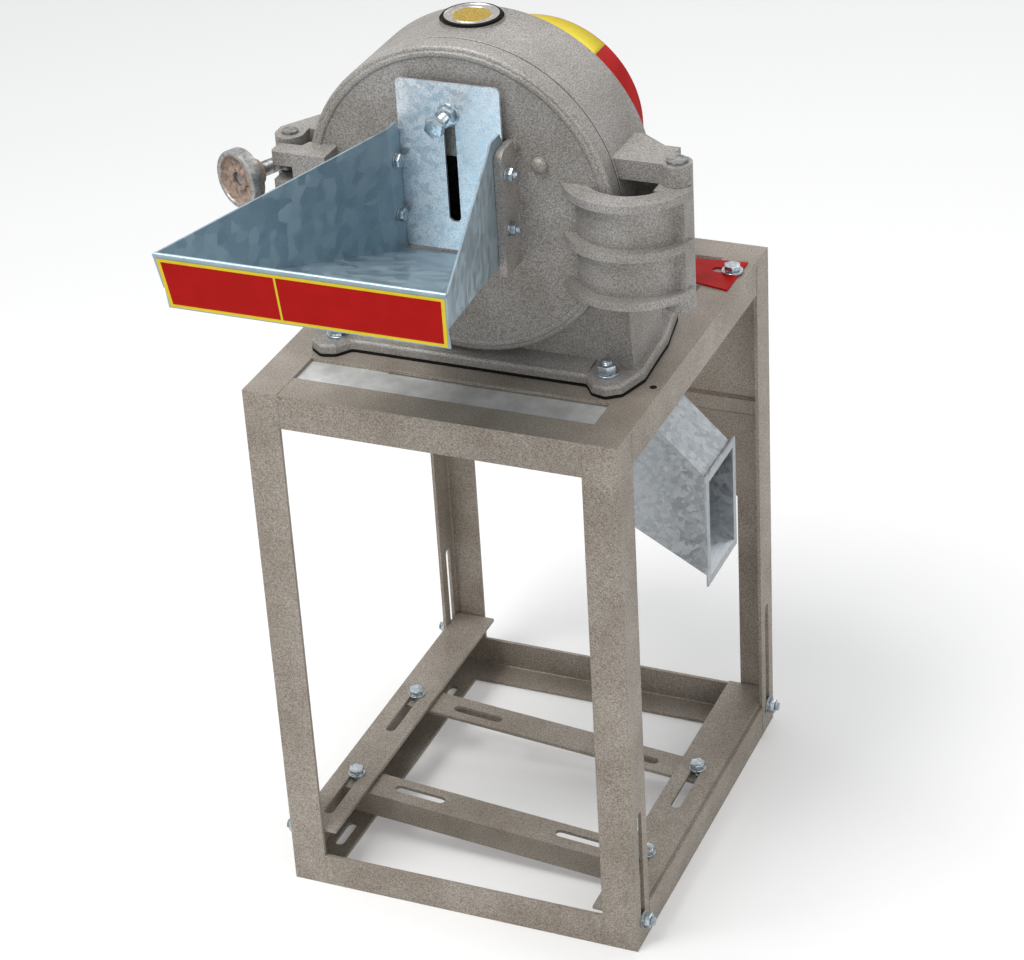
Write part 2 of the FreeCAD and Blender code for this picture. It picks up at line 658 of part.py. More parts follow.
# Drive pulley with two V grooves, its key and nut
p1 = pulley_y
p2 = pulley_y + pulley_wide
pulley = turned([(shaft_r + run_fit, p1), (34, p1), (34, p1 + 14), (pulley_r - 20, p1 + 14),
                 (pulley_r - 20, p1), (pulley_r, p1),
                 (pulley_r, p1 + 4), (pulley_r - 12, p1 + 8), (pulley_r - 12, p1 + 16), (pulley_r, p1 + 20),
                 (pulley_r, p2 - 20), (pulley_r - 12, p2 - 16), (pulley_r - 12, p2 - 8), (pulley_r, p2 - 4),
                 (pulley_r, p2), (pulley_r - 20, p2), (pulley_r - 20, p1 + 26), (34, p1 + 26), (34, p2),
                 (shaft_r + run_fit, p2)],
                0, 0, axis_z)
keyway = box(-4, 4, p1 - 1, p2 + 1, axis_z + shaft_r - 3, axis_z + shaft_r + 4)
web_holes = [(43 * math.cos(math.pi / 3 * i), 43 * math.sin(math.pi / 3 * i)) for i in range(6)]
holes = [rod(7, 30, x, p1 + 2, axis_z + z, "y") for x, z in web_holes]
node("drive_pulley", cut(pulley, keyway, *holes))
node("pulley_key", box(-4, 4, p1, p2 - 2, axis_z + shaft_r - 4, axis_z + shaft_r + 3.5))
node("pulley_nut", cut(fuse(hexagon(36, 10, 0, p2, axis_z, "y"), rod(22, 2, 0, p2, axis_z, "y")),
                       rod(shaft_r - 5 + run_fit, 14, 0, p2 - 1, axis_z, "y")))

# The door: disc, hinge arm, inlet cheeks, gate boss and latch lug
door_front = parting - door_thick
plate = rounded(rod(drum_r, door_thick, 0, door_front, axis_z, "y"), door_round,
                lambda c, e: abs(c.y - door_front.value) < 0.01)
rim_edge = turned([(drum_r - rim_groove, parting + 0.5), (drum_r + 1, parting + 0.5),
                   (drum_r + 1, parting - rim_groove)], 0, 0,
                  axis_z)
bead = turned([(drum_r - 13, door_front + 2), (drum_r - 12, door_front - rim_bead / 2),
               (drum_r - 10.5, door_front - rim_bead),
               (drum_r - 7.5, door_front - rim_bead), (drum_r - 6, door_front - rim_bead / 2),
               (drum_r - 5, door_front + 2)],
              0, 0, axis_z)
front_cheek = door_front - cheek_reach
cheeks = box(-cheek_half - cheek_wall, cheek_half + cheek_wall, front_cheek, door_front + 2, cheek_low,
             cheek_high)
cheeks = rounded(cheeks, 14,
                 lambda c, e: abs(c.y - front_cheek.value) < 0.01 and abs(c.z - cheek_high.value) < 0.01)
trough = box(-cheek_half, cheek_half, front_cheek - 1, door_front, cheek_low - 1, cheek_high + 1)
mouth = box(-mouth_half, mouth_half, parting - door_thick - 1, parting + 1, mouth_low, mouth_high)
boss = rod(16, boss_reach + 1, 0, door_front - boss_reach, gate_bolt_z, "y")
web_back = parting - face_gap


def half_disc(radius, z1, z2):
    disc_part = rod(radius, sized(z2) - z1, arc_x, hinge_y - 1, z1)
    both = doc.addObject("Part::MultiCommon", "half_disc")
    both.Shapes = [disc_part, box(arc_x - rib_r - 2, arc_x + rib_r + 2, web_back - rib_r - 20, web_back,
                                  barrel_low, barrel_high)]
    return both


web = cut(half_disc(web_r, barrel_low, barrel_high), rod(web_r - web_wall, 200, arc_x, hinge_y - 1,
                                                         barrel_low - 20))
rib_zs = (barrel_low, (barrel_low + barrel_high) / 2 - rib_thick / 2, barrel_high - rib_thick)
ribs = [cut(half_disc(rib_r, z, z + rib_thick), rod(web_r - web_wall, rib_thick + 2, arc_x, hinge_y - 1,
                                                    z - 1)) for z in rib_zs]
barrel = rod(hinge_r, barrel_high - barrel_low, hinge_x, hinge_y, barrel_low)
knuckle = box(hinge_x - hinge_r, hinge_x + hinge_r, web_back - 14, hinge_y, barrel_low, barrel_high)
lug_tip = latch_x - 4
lug = prism([(latch_x + 58, door_front + 3), (latch_x + 58, door_front - 30), (lug_tip, door_front - 30),
             (lug_tip, door_front - 8),
             (latch_x + 22, door_front - 8), (latch_x + 26, door_front + 3)], "xy", latch_z - 24,
             latch_z + 24)
lug = rounded(lug, 5, lambda c, e: upright(e) and c.x < lug_tip.value + 1)
lug_slot = box(lug_tip - 1, latch_x + 20, door_front - 60, door_front - 7, latch_z - bolt_r - 1,
               latch_z + bolt_r + 1)
nubs = [rod(5, 7, (cheek_half + 7) * s, door_front - 5, axis_z + 73, "y") for s in (-1, 1)]
tray_holes = [rod(tray_bolt / 2 + 0.5, 200, -100, front_cheek + 13, z, "x") for z in (tray_bolt_low,
                                                                                      tray_bolt_high)]
door_bore = rod(pin_r + run_fit, 200, hinge_x, hinge_y, barrel_low - 20)
door_holes = [rod(4.3, 60, x, door_front - 20, axis_z + z, "y") for x, z in holds]
tapped = rod(6, door_thick + boss_reach + 2, 0, door_front - boss_reach - 1, gate_bolt_z, "y")
door = fuse(cut(plate, rim_edge), bead, cut(cheeks, trough), web, *ribs, barrel, knuckle, lug, *nubs)
door = cut(door, mouth, lug_slot, door_bore, *tray_holes, *door_holes)
node("door", cut(fuse(door, boss), tapped))

# Hinge pin and latch pin
node("hinge_pin", fuse(rod(pin_r, barrel_high - barrel_low + ear_thick * 2 + 1, hinge_x, hinge_y,
                           barrel_low - ear_thick),
                       rod(pin_r + 3, 3, hinge_x, hinge_y, barrel_high + ear_thick + face_gap)))
node("latch_pin", fuse(rod(6, eye_thick + 38, latch_x, latch_y, eye_low - 18.3),
                       rod(8.5, 3, latch_x, latch_y, eye_high + 18 + face_gap)))

# The slide gate and its clamp bolt
gate_y = door_front - boss_reach
gate = box(-gate_wide / 2, gate_wide / 2, gate_y - gate_gauge, gate_y, gate_low, gate_high)
gate = rounded(gate, 5, lambda c, e: abs(e.Length - gate_gauge.value) < 0.01)
gate_slot = slot(gate_slot_high - gate_slot_low, slot_wide + 1, 20, 0, gate_y,
                 (gate_slot_low + gate_slot_high) / 2, "z", "y")
node("slide_gate", cut(gate, gate_slot))
clamp_y = gate_y - gate_gauge
clamp_head = hexagon(19, 8, 0, clamp_y - 38, gate_bolt_z, "y")
clamp_head = rounded(clamp_head, 0.8, lambda c, e: c.y < clamp_y.value - 37.9)
node("gate_clamp_bolt", fuse(rod(6 - run_fit, 47, 0, clamp_y - 30, gate_bolt_z, "y"), clamp_head))
nut_face = clamp_y - run_fit
nut_collar = rod(12, 2.5, 0, nut_face - 2.5, gate_bolt_z, "y")
node("gate_lock_nut", cut(fuse(hexagon(19, 9, 0, nut_face - 11.5, gate_bolt_z, "y"), nut_collar),
                          rod(6, 20, 0, clamp_y - 15, gate_bolt_z, "y")))

# The feed tray: folded sheet, drawn between two cross-sections
tray_back = gate_y - gate_gauge - 1
bend_y = front_cheek


def tray_section(y, low, half_low, half_top, top):
    sketch = outline([(-half_low, low), (half_low, low), (half_top, top), (-half_top, top)], "xz")
    return move(sketch, 0, y, 0, (1, 0, 0), 90)


def lofted(first, last):
    solid = doc.addObject("Part::Loft", "drawn")
    solid.Sections = [first, last]
    solid.Solid = True
    solid.Ruled = True
    return solid


fit_half = cheek_half - face_gap
lip_floor = tray_front_floor + 2.4
outer = lofted(tray_section(bend_y, tray_bend_floor, fit_half, fit_half, tray_top),
               tray_section(tray_lip_y, lip_floor, tray_foot_half + 2, tray_lip_half, tray_top))
hollow_part = lofted(tray_section(bend_y, tray_bend_floor + tray_gauge, fit_half - tray_gauge,
                                  fit_half - tray_gauge, tray_top + 1),
                     tray_section(tray_lip_y, lip_floor + tray_gauge, tray_foot_half + 2 - tray_gauge,
                                  tray_lip_half - tray_gauge,
                                  tray_top + 1))


def ahead_of_fascia(offset):
    """Everything in front of the leaning fascia, a given distance behind its face."""
    foot = tray_front_y + offset
    head = tray_lip_y + offset
    lean = (tray_front_y - tray_lip_y) / (tray_top - tray_front_floor)
    return prism([(foot + lean * 12, tray_front_floor - 12), (head - lean * 6, tray_top + 6),
                  (head - 30, tray_top + 6),
                  (head - 30, tray_front_floor - 12)], "yz", -tray_lip_half - 5, tray_lip_half + 5)


pan = cut(cut(outer, ahead_of_fascia(0)), cut(hollow_part, ahead_of_fascia(tray_gauge)))
neck = cut(prism([(bend_y, tray_bend_floor), (bend_y, tray_top), (tray_back - 6, tray_top),
                  (tray_back, tray_top - 12),
                  (tray_back, tray_door_floor)], "yz", -fit_half, fit_half),
           prism([(bend_y - 1, tray_bend_floor + tray_gauge), (bend_y - 1, tray_top + 1),
                  (tray_back + 1, tray_top + 1),
                  (tray_back + 1, tray_door_floor + tray_gauge)], "yz", -fit_half + tray_gauge,
                  fit_half - tray_gauge))
drape = (tray_front_y - tray_lip_y) / (tray_top - tray_front_floor)
apron_foot = tray_front_y + drape * tray_apron
apron = prism([(tray_front_y - drape * 4, tray_front_floor + 4), (apron_foot, tray_front_floor - tray_apron),
               (apron_foot + tray_gauge, tray_front_floor - tray_apron),
               (tray_front_y - drape * 4 + tray_gauge, tray_front_floor + 4)],
              "yz", -tray_foot_half + 1, tray_foot_half - 1)
lip = rod(2.2, tray_lip_half * 2 - 3, -tray_lip_half + 1.5, tray_lip_y + 1.2, tray_top - 0.7, "x")
tray_bores = [rod(tray_bolt / 2 + 0.3, 160, -80, front_cheek + 13, z, "x") for z in (tray_bolt_low,
                                                                                     tray_bolt_high)]
node("feed_tray", cut(fuse(pan, neck, apron, lip), *tray_bores))

bolts = []
nuts = []
inside = fit_half - tray_gauge
outside = cheek_half + cheek_wall
bolt_y = front_cheek + 13
thin = 1.6


def between(sign, near, far, make):
    """A turned piece between two distances from the middle, on the left or the right."""
    start = near if sign > 0 else -sized(far)
    return make(sized(far) - near, start)


for s in (-1, 1):
    for z in (tray_bolt_low, tray_bolt_high):
        shank = between(s, inside, outside + 9, lambda long, x: rod(tray_bolt / 2, long, x, bolt_y, z, "x"))
        pad_ring = between(s, inside - thin, inside, lambda long, x: rod(8, long, x, bolt_y, z, "x"))
        head = between(s, inside - thin - 5, inside - thin, lambda long,
                       x: hexagon(13, long, x, bolt_y, z, "x"))
        bolts.append(fuse(shank, pad_ring, head))
        nut_ring = between(s, outside, outside + thin, lambda long, x: rod(8, long, x, bolt_y, z, "x"))
        nut = between(s, outside + thin, outside + thin + 6.5, lambda long,
                      x: hexagon(13, long, x, bolt_y, z, "x"))
        thread = between(s, outside - 1, outside + 11, lambda long,
                         x: rod(tray_bolt / 2 + run_fit, long, x, bolt_y, z, "x"))
        nuts.append(cut(fuse(nut_ring, nut), thread))
node("tray_bolts", group(*bolts))
node("tray_nuts", group(*nuts))


# The swing bolt and its handwheel, drawn along -Y and then turned out of the lug
def swung(name, solid):
    turn = doc.addObject("Part::Compound", name)
    turn.Links = [solid]
    move(turn, latch_x, latch_y, latch_z)
    turn.Placement.Rotation = FreeCAD.Rotation(V(0, 0, 1), -latch_angle.value)
    turn.setExpression("Placement.Rotation.Angle", latch_angle.text)
    turn.Placement.Rotation.Axis = V(0, 0, -1)
    return node(name, turn)


eye = rod(14, eye_thick, 0, 0, -eye_thick / 2)
swing = cut(fuse(eye, rod(bolt_r, bolt_long, 0, -bolt_long, 0, "y")),
            rod(6 + run_fit, eye_thick + 4, 0, 0, -eye_thick / 2 - 2))
swung("swing_bolt", swing)
hub = -wheel_at
wheel = turned([(bolt_r + run_fit, hub), (14, hub), (15, hub - 13), (wheel_r - 2, hub - 14),
                (wheel_r, hub - 16),
                (wheel_r, hub - 28), (wheel_r - 1.5, hub - 30), (wheel_r - 5, hub - 30),
                (wheel_r - 7, hub - 25),
                (14, hub - 23), (12.5, hub - 26), (bolt_r + run_fit, hub - 26)])
swung("handwheel", wheel)

# The discharge chute: a folded duct under the casing
floor_line = [(start_x, height), (bend_x, bend_z), (knee_x, knee_z), (duct_out, duct_low)]
cover_line = [(duct_out, duct_top), (206, height - 57), (187, height - 40), (cover_x, height - 20),
              (cover_x, height)]
walls = floor_line + cover_line
front_wall_part = prism(walls, "xz", duct_front, duct_front + duct_gauge)
rear_wall_part = prism(walls, "xz", duct_back - duct_gauge, duct_back)
floor_low = floor_line + [(x, sized(z) + duct_gauge * 1.3) for x, z in reversed(floor_line[1:])]
floor_low = floor_low + [(start_x + 6, height)]
cover_high = cover_line + [(cover_x - duct_gauge, height), (cover_x - duct_gauge, height - 21),
                           (187, height - 42.6), (206, height - 59.6),
                           (duct_out, duct_top - duct_gauge * 1.3)]
floor_part = prism(floor_low, "xz", duct_front, duct_back)
cover_part = prism(cover_high, "xz", duct_front, duct_back)
lip_outer = box(duct_out - duct_gauge, duct_out, duct_front - duct_lip, duct_back + duct_lip,
                duct_low - duct_lip, duct_top + duct_lip)
lip_inner = box(duct_out - 4, duct_out + 4, duct_front + duct_gauge, duct_back - duct_gauge,
                duct_low + duct_gauge * 1.3,
                duct_top - duct_gauge * 1.3)
rivet_holes = [rod(3.2, 12, x, duct_front - 6, z, "y") for x, z in rivet_spots]
node("discharge_chute", cut(fuse(front_wall_part, rear_wall_part, floor_part, cover_part,
                                 cut(lip_outer, lip_inner)), *rivet_holes))
node("chute_rivets", group(*[fuse(rod(3, wall + duct_gauge + 1, x, duct_front - wall - 0.5, z, "y"),
                                  rod(6, 2.5, x, duct_front - wall - 2.5, z, "y"),
                                  rod(5, 2, x, duct_front + duct_gauge, z, "y"))
                             for x, z in rivet_spots]))

# The belt guard behind the mill, with its foot on the right top rail
guard_outer = fuse(rod(guard_r, guard_back - guard_front, 0, guard_front, axis_z, "y"),
                   box(-guard_r, guard_r, guard_front, guard_back, height, axis_z))
guard_inner = fuse(rod(guard_r - gauge, guard_back - guard_front, 0, guard_front - gauge, axis_z, "y"),
                   box(-guard_r + gauge, guard_r - gauge, guard_front - gauge, guard_back - gauge,
                       height - 1, axis_z))
tab = prism([(guard_r - gauge, guard_back - 8), (guard_r + 10, guard_back - 8),
             (tab_x1 + 16, guard_back + 12), (tab_x2, guard_back + 3),
             (tab_x2, guard_bolt_y + 27), (tab_x1, guard_bolt_y + 20), (guard_r - gauge, guard_back)], "xy",
             height, height + gauge + 0.5)
tab_slot = slot(30, 11, 12, guard_bolt_x - 8, guard_bolt_y, height, "x")
vent = rod(shaft_r + 8, 10, 0, guard_back - 5, axis_z, "y")
node("belt_guard", cut(fuse(cut(guard_outer, guard_inner), tab), tab_slot, vent))
node("guard_bolt", bolt_set(10, guard_bolt_x, guard_bolt_y, height + gauge + 0.5, height - wall, 17, 11))

# Bare round badge plate on top of the drum
badge = rod(badge_r, 3, badge_x, badge_y, pad_top)
node("badge_disc", rounded(badge, 1, lambda c, e: c.z > pad_top.value + 2.9))

# The motor carriage: two side rails bolted to the legs, and two slotted rails across
rail_tops = {"left": side_rail_top, "right": side_rail_top - rail_step}
for side, sx in (("left", -1), ("right", 1)):
    top_z = rail_tops[side]
    heel_x = (half_w - wall) * sx
    rail = angle_bar("xz", -side_rail_half, side_rail_half, -sx, -1, heel_x, top_z, side_rail_wide,
                     side_rail_drop)
    run = clamp_travel + slot_wide
    slots = [slot(run, slot_wide, wall * 3, clamp_x * sx, y - clamp_travel / 2, top_z,
                  "y") for y in (clamp_front, clamp_rear)]
    leg_z = top_z - bolt_drop
    holes = [rod(clamp_bolt / 2 + 0.5, wall * 3, heel_x - wall * 1.5, side_bolt_y * s, leg_z,
                 "x") for s in (-1, 1)]
    node(f"carriage_rail_{side}", cut(rail, *slots, *holes))
    leg_bolts = []
    for s in (-1, 1):
        y = side_bolt_y * s
        inner_face = (half_w - wall * 2) * sx
        outer_face = half_w * sx
        shank_start = inner_face if sx > 0 else outer_face - 14
        head_start = inner_face - 6 if sx > 0 else inner_face
        washer_start = outer_face if sx > 0 else outer_face - 2
        nut_start = outer_face + 2 if sx > 0 else outer_face - 10
        leg_bolts.append(fuse(rod(clamp_bolt / 2, wall * 2 + 14, shank_start, y, leg_z, "x"),
                              hexagon(16, 6, head_start, y, leg_z, "x"),
                              rod(10, 2, washer_start, y, leg_z, "x"),
                              hexagon(16, 8, nut_start, y, leg_z, "x")))
    node(f"carriage_bolts_{side}", group(*leg_bolts))

# The rails across lie a little lower on the right, against the undersides of the side rails
touch_left = -cross_half
touch_right = half_w - wall - side_rail_wide
slope = rail_step / (touch_right - touch_left)
tilt = math.degrees(math.atan(slope.value))
mid_z = side_rail_top - wall + slope * touch_left - 0.15
for end, y, heel in (("front", clamp_front, -1), ("rear", clamp_rear, 1)):
    heel_y = y + (leg / 2 + 2) * heel
    bar = angle_bar("yz", -cross_half, cross_half, -heel, -1, heel_y, 0, leg, cross_drop)
    motor_slots = [slot(motor_slot, slot_wide, wall * 3, motor_slot_x * s, y, 0, "x") for s in (-1, 1)]
    end_slots = [slot(slot_wide + 16, slot_wide, wall * 4, (clamp_x - 1) * s, y, 0, "x") for s in (-1, 1)]
    flat = cut(bar, *motor_slots, *end_slots)
    laid = doc.addObject("Part::Compound", "laid")
    laid.Links = [flat]
    move(laid, 0, 0, mid_z, (0, 1, 0), tilt)
    node(f"motor_rail_{end}", laid)
    clamps = []
    for side, sx in (("left", -1), ("right", 1)):
        top_z = rail_tops[side]
        under = mid_z - slope * clamp_x * sx - wall - 1.0
        clamps.append(fuse(hexagon(16, 6.4, clamp_x * sx, y, top_z + 2), rod(10, 2, clamp_x * sx, y, top_z),
                           rod(clamp_bolt / 2, top_z + 2 - under + 11, clamp_x * sx, y, under - 11),
                           hexagon(16, 8, clamp_x * sx, y, under - 8)))
    node(f"clamp_bolts_{end}", group(*clamps))

doc.recompute()

# Checks and export
faults = []
for obj in doc.Objects:
    if "Invalid" in obj.State or "Error" in obj.State:
        faults.append(f"{obj.Name} ({obj.Label}): {obj.State}")
for name, solid in nodes.items():
    shape = solid.Shape
    if shape.isNull() or not shape.isValid() or not shape.Solids:
        faults.append(f"{name}: no valid solid")
        continue
    bounds = shape.BoundBox
    print(f"{name:22s} solids {len(shape.Solids)}  volume {shape.Volume / 1000:9.1f} cm3  "
          f"x {bounds.XMin:7.1f} {bounds.XMax:7.1f}  y {bounds.YMin:7.1f} {bounds.YMax:7.1f}  "
          f"z {bounds.ZMin:7.1f} {bounds.ZMax:7.1f}")
if faults:
    raise RuntimeError("; ".join(faults))
for name, solid in nodes.items():
    solid.Shape.exportStep(f"parts/{name}.step")
print(len(nodes), "nodes")
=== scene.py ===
# %% [markdown]
# # A claw mill on its stand
# The mill is a cast drum with a hinged door, a sheet feed tray and a slide gate. It stands on a welded
# angle-iron frame with a slotted carriage for a motor. The solids come ready made and in place, so this
# lesson dresses them: it gives each surface its real finish and swaps the plain fasteners for ones with
# chamfers and threads. We load the solids first. All sizes below are in millimetres and are turned into
# metres by MM.

# %% Load the solids
import json
import math

import bmesh
import bpy
from mathutils import Matrix, Vector


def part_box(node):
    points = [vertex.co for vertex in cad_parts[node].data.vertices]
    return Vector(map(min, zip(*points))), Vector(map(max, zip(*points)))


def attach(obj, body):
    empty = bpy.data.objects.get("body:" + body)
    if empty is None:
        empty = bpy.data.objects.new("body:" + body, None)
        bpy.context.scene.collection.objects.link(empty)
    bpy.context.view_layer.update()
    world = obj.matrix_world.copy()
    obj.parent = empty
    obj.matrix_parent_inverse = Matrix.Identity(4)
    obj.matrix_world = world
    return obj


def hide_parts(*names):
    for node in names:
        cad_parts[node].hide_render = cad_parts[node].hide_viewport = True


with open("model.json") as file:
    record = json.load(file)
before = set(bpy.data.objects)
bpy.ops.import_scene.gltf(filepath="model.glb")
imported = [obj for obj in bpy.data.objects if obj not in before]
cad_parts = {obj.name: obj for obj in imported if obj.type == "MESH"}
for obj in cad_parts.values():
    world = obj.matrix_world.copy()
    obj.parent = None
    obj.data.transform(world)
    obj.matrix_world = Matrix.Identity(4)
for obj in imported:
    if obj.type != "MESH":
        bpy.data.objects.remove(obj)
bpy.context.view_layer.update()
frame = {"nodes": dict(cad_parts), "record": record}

MM = 0.001

# %% [markdown]
# ## Colours and nodes
# Colours are picked as sRGB hex values, the way a paint chart gives them. Blender's shaders work in linear
# light, so one function turns each value. Every node is added by one small function that also makes its
# links.

# %% Helpers for materials
def linear(hex_colour):
    """An sRGB hex colour as the linear RGBA that shaders expect."""
    parts = [int(hex_colour[i:i + 2], 16) / 255 for i in (1, 3, 5)]
    return tuple(c / 12.92 if c <= 0.04045 else ((c + 0.055) / 1.055) ** 2.4 for c in parts) + (1.0,)


def add(tree, kind, inputs=None, **settings):
    """Adds a node, sets its settings, and fills or links its inputs."""
    new = tree.nodes.new(kind)
    for key, value in settings.items():
        setattr(new, key, value)
    for key, value in (inputs or {}).items():
        if isinstance(value, bpy.types.NodeSocket):
            tree.links.new(value, new.inputs[key])
        else:
            new.inputs[key].default_value = value
    return new


def start_material(name):
    """An empty material with its output, its coordinates and a shader to fill in."""
    material = bpy.data.materials.new(name)
    material.use_nodes = True
    tree = material.node_tree
    tree.nodes.clear()
    shader = add(tree, "ShaderNodeBsdfPrincipled")
    add(tree, "ShaderNodeOutputMaterial", {"Surface": shader.outputs[0]})
    coords = add(tree, "ShaderNodeTexCoord").outputs["Object"]
    return material, tree, shader, coords


def ramp(tree, factor, stops):
    """A colour ramp with the given (position, hex colour) stops."""
    new = add(tree, "ShaderNodeValToRGB", {"Fac": factor})
    while len(new.color_ramp.elements) < len(stops):
        new.color_ramp.elements.new(0.5)
    for element, (position, colour) in zip(new.color_ramp.elements, stops):
        element.position = position
        element.color = linear(colour)
    return new.outputs["Color"]


def levels(tree, factor, low, high, out_low=0.0, out_high=1.0):
    """Stretches a value between two levels, clamped."""
    new = add(tree, "ShaderNodeMapRange", {"Value": factor, "From Min": low, "From Max": high,
                                           "To Min": out_low, "To Max": out_high})
    return new.outputs["Result"]


def mix(tree, factor, a, b, blend="MIX"):
    """Mixes two colours."""
    new = add(tree, "ShaderNodeMix", data_type="RGBA", blend_type=blend)
    for key, value in ((0, factor), (6, a), (7, b)):
        if isinstance(value, bpy.types.NodeSocket):
            tree.links.new(value, new.inputs[key])
        else:
            new.inputs[key].default_value = value
    return new.outputs[2]


def noise(tree, coords, size_mm, detail=3.0, rough=0.55):
    """Noise whose blots are about size_mm across."""
    return add(tree, "ShaderNodeTexNoise", {"Vector": coords, "Scale": 1 / (size_mm * MM), "Detail": detail,
                                            "Roughness": rough}).outputs["Fac"]


print("helpers ready")

# %% [markdown]
# ## Hammer-finish paint
# Castings and angle iron carry the same silver-beige hammer paint. Silicone in the paint makes it crawl into
# small pale cells with darker edges, about two millimetres wide. Over rough sand-cast iron the cells break up
# into grains. Voronoi cells and fine noise give the cells and their grains, and a slow, wide noise gives
# uneven spraying.

# %% Hammer-finish paint
def hammer_paint(name, pale, middle, dark, cell_mm, relief_mm, roughness):
    material, tree, shader, coords = start_material(name)
    cell_inputs = {"Vector": coords, "Scale": 1 / (cell_mm * MM)}
    cells = add(tree, "ShaderNodeTexVoronoi", cell_inputs, feature="F1").outputs["Distance"]
    grains = noise(tree, coords, cell_mm * 0.7, 4.0, 0.7)
    wide = noise(tree, coords, 70, 2.0)
    speck = levels(tree, grains, 0.36, 0.66)
    paint = ramp(tree, speck, [(0.0, dark), (0.45, middle), (1.0, pale)])
    patch = ramp(tree, levels(tree, wide, 0.35, 0.68), [(0.0, "#e3e0dc"), (1.0, "#ffffff")])
    cell_tint = ramp(tree, levels(tree, cells, 0.1, 0.75), [(0.0, "#ffffff"), (1.0, "#dad6d0")])
    colour = mix(tree, 1.0, mix(tree, 1.0, paint, patch, "MULTIPLY"), cell_tint, "MULTIPLY")
    tree.links.new(colour, shader.inputs["Base Color"])
    height = add(tree, "ShaderNodeMath", {0: grains, 1: cells}, operation="SUBTRACT").outputs[0]
    soft = add(tree, "ShaderNodeBevel", {"Radius": 0.9 * MM}, samples=4).outputs[0]
    bump = add(tree, "ShaderNodeBump", {"Strength": 0.55, "Distance": relief_mm * MM, "Height": height,
                                        "Normal": soft})
    tree.links.new(bump.outputs[0], shader.inputs["Normal"])
    gloss = levels(tree, grains, 0.3, 0.7, roughness + 0.08, roughness - 0.08)
    tree.links.new(gloss, shader.inputs["Roughness"])
    shader.inputs["Metallic"].default_value = 0.25
    return material


casting_paint = hammer_paint("hammer_paint_on_sand_cast_iron", "#c6c4c3", "#aba9a7", "#858280",
                             cell_mm=2.0, relief_mm=0.4, roughness=0.52)
angle_paint = hammer_paint("hammer_paint_on_angle_iron", "#c9c2b9", "#aea69c", "#857d73",
                           cell_mm=1.8, relief_mm=0.2, roughness=0.46)
print("paints:", casting_paint.name, angle_paint.name)

# %% [markdown]
# ## Galvanised sheet
# Hot-dip zinc freezes into spangles, flat crystals 6 to 14 mm wide that each catch the light differently. The
# tray and chute show it as blue-grey patches. Voronoi cells give each crystal its own tone and gloss, fine
# noise adds the crystal's feathering, long thin streaks are the scratches of use, and small dark specks are
# dross.

# %% Galvanised sheet and zinc plate
def galvanised(name, pale, middle, dark, spangle_mm, roughness, specks=0.0):
    material, tree, shader, coords = start_material(name)
    bent = noise(tree, coords, spangle_mm * 0.6, 2.0)
    moved = add(tree, "ShaderNodeVectorMath", {0: coords, 1: (spangle_mm * 0.5 * MM,) * 3}, operation="ADD")
    warped = add(tree, "ShaderNodeMixRGB", {"Fac": 0.006, "Color1": moved.outputs[0], "Color2": bent})
    crystal_inputs = {"Vector": warped.outputs[0], "Scale": 1 / (spangle_mm * MM)}
    crystal = add(tree, "ShaderNodeTexVoronoi", crystal_inputs, feature="F1").outputs["Color"]
    tone = add(tree, "ShaderNodeSeparateColor", {"Color": crystal}).outputs[0]
    feather = noise(tree, coords, 2.4, 5.0, 0.7)
    both = add(tree, "ShaderNodeMath", {0: tone, 1: feather}, operation="ADD").outputs[0]
    patches = ramp(tree, levels(tree, both, 0.45, 1.5), [(0.0, dark), (0.5, middle), (1.0, pale)])
    stretched = add(tree, "ShaderNodeMapping", {"Vector": coords, "Scale": (60, 500, 500),
                                                "Rotation": (0.3, 0.5, 0.2)}).outputs[0]
    streak_noise = add(tree, "ShaderNodeTexNoise", {"Vector": stretched, "Scale": 1.0, "Detail": 2.0})
    scratches = levels(tree, streak_noise.outputs["Fac"], 0.64, 0.72, 0.0, 0.35)
    colour = mix(tree, scratches, patches, linear(pale))
    dross = levels(tree, noise(tree, coords, 1.6, 3.0, 0.7), 0.53, 0.62, 0.0, specks)
    colour = mix(tree, dross, colour, linear("#7d868c"))
    tree.links.new(colour, shader.inputs["Base Color"])
    gloss = levels(tree, tone, 0.0, 1.0, roughness - 0.08, roughness + 0.12)
    tree.links.new(gloss, shader.inputs["Roughness"])
    bump = add(tree, "ShaderNodeBump", {"Strength": 0.2, "Distance": 0.1 * MM, "Height": both})
    tree.links.new(bump.outputs[0], shader.inputs["Normal"])
    shader.inputs["Metallic"].default_value = 0.75
    return material


tray_zinc = galvanised("galvanised_sheet_blue_grey", "#a5b7c0", "#9cafb9", "#93a6b1",
                       spangle_mm=14, roughness=0.42, specks=0.12)
gate_zinc = galvanised("galvanised_sheet_rubbed_bright", "#e3e7ea", "#d6dce0", "#bcc7d0",
                       spangle_mm=6, roughness=0.38, specks=0.6)
chute_zinc = galvanised("galvanised_sheet_large_spangle", "#b6babd", "#a5aaae", "#949a9f",
                        spangle_mm=6, roughness=0.38, specks=0.3)


def plain_metal(name, pale, dark, blot_mm, roughness, relief_mm=0.03, metallic=1.0):
    """Metal with a soft change of tone and a trace of grain."""
    material, tree, shader, coords = start_material(name)
    blots = noise(tree, coords, blot_mm, 5.0, 0.6)
    colour = ramp(tree, levels(tree, blots, 0.35, 0.65), [(0.0, dark), (1.0, pale)])
    tree.links.new(colour, shader.inputs["Base Color"])
    gloss = levels(tree, blots, 0.3, 0.7, roughness + 0.1, roughness - 0.05)
    tree.links.new(gloss, shader.inputs["Roughness"])
    bump = add(tree, "ShaderNodeBump", {"Strength": 0.3, "Distance": relief_mm * MM, "Height": blots})
    tree.links.new(bump.outputs[0], shader.inputs["Normal"])
    shader.inputs["Metallic"].default_value = metallic
    return material


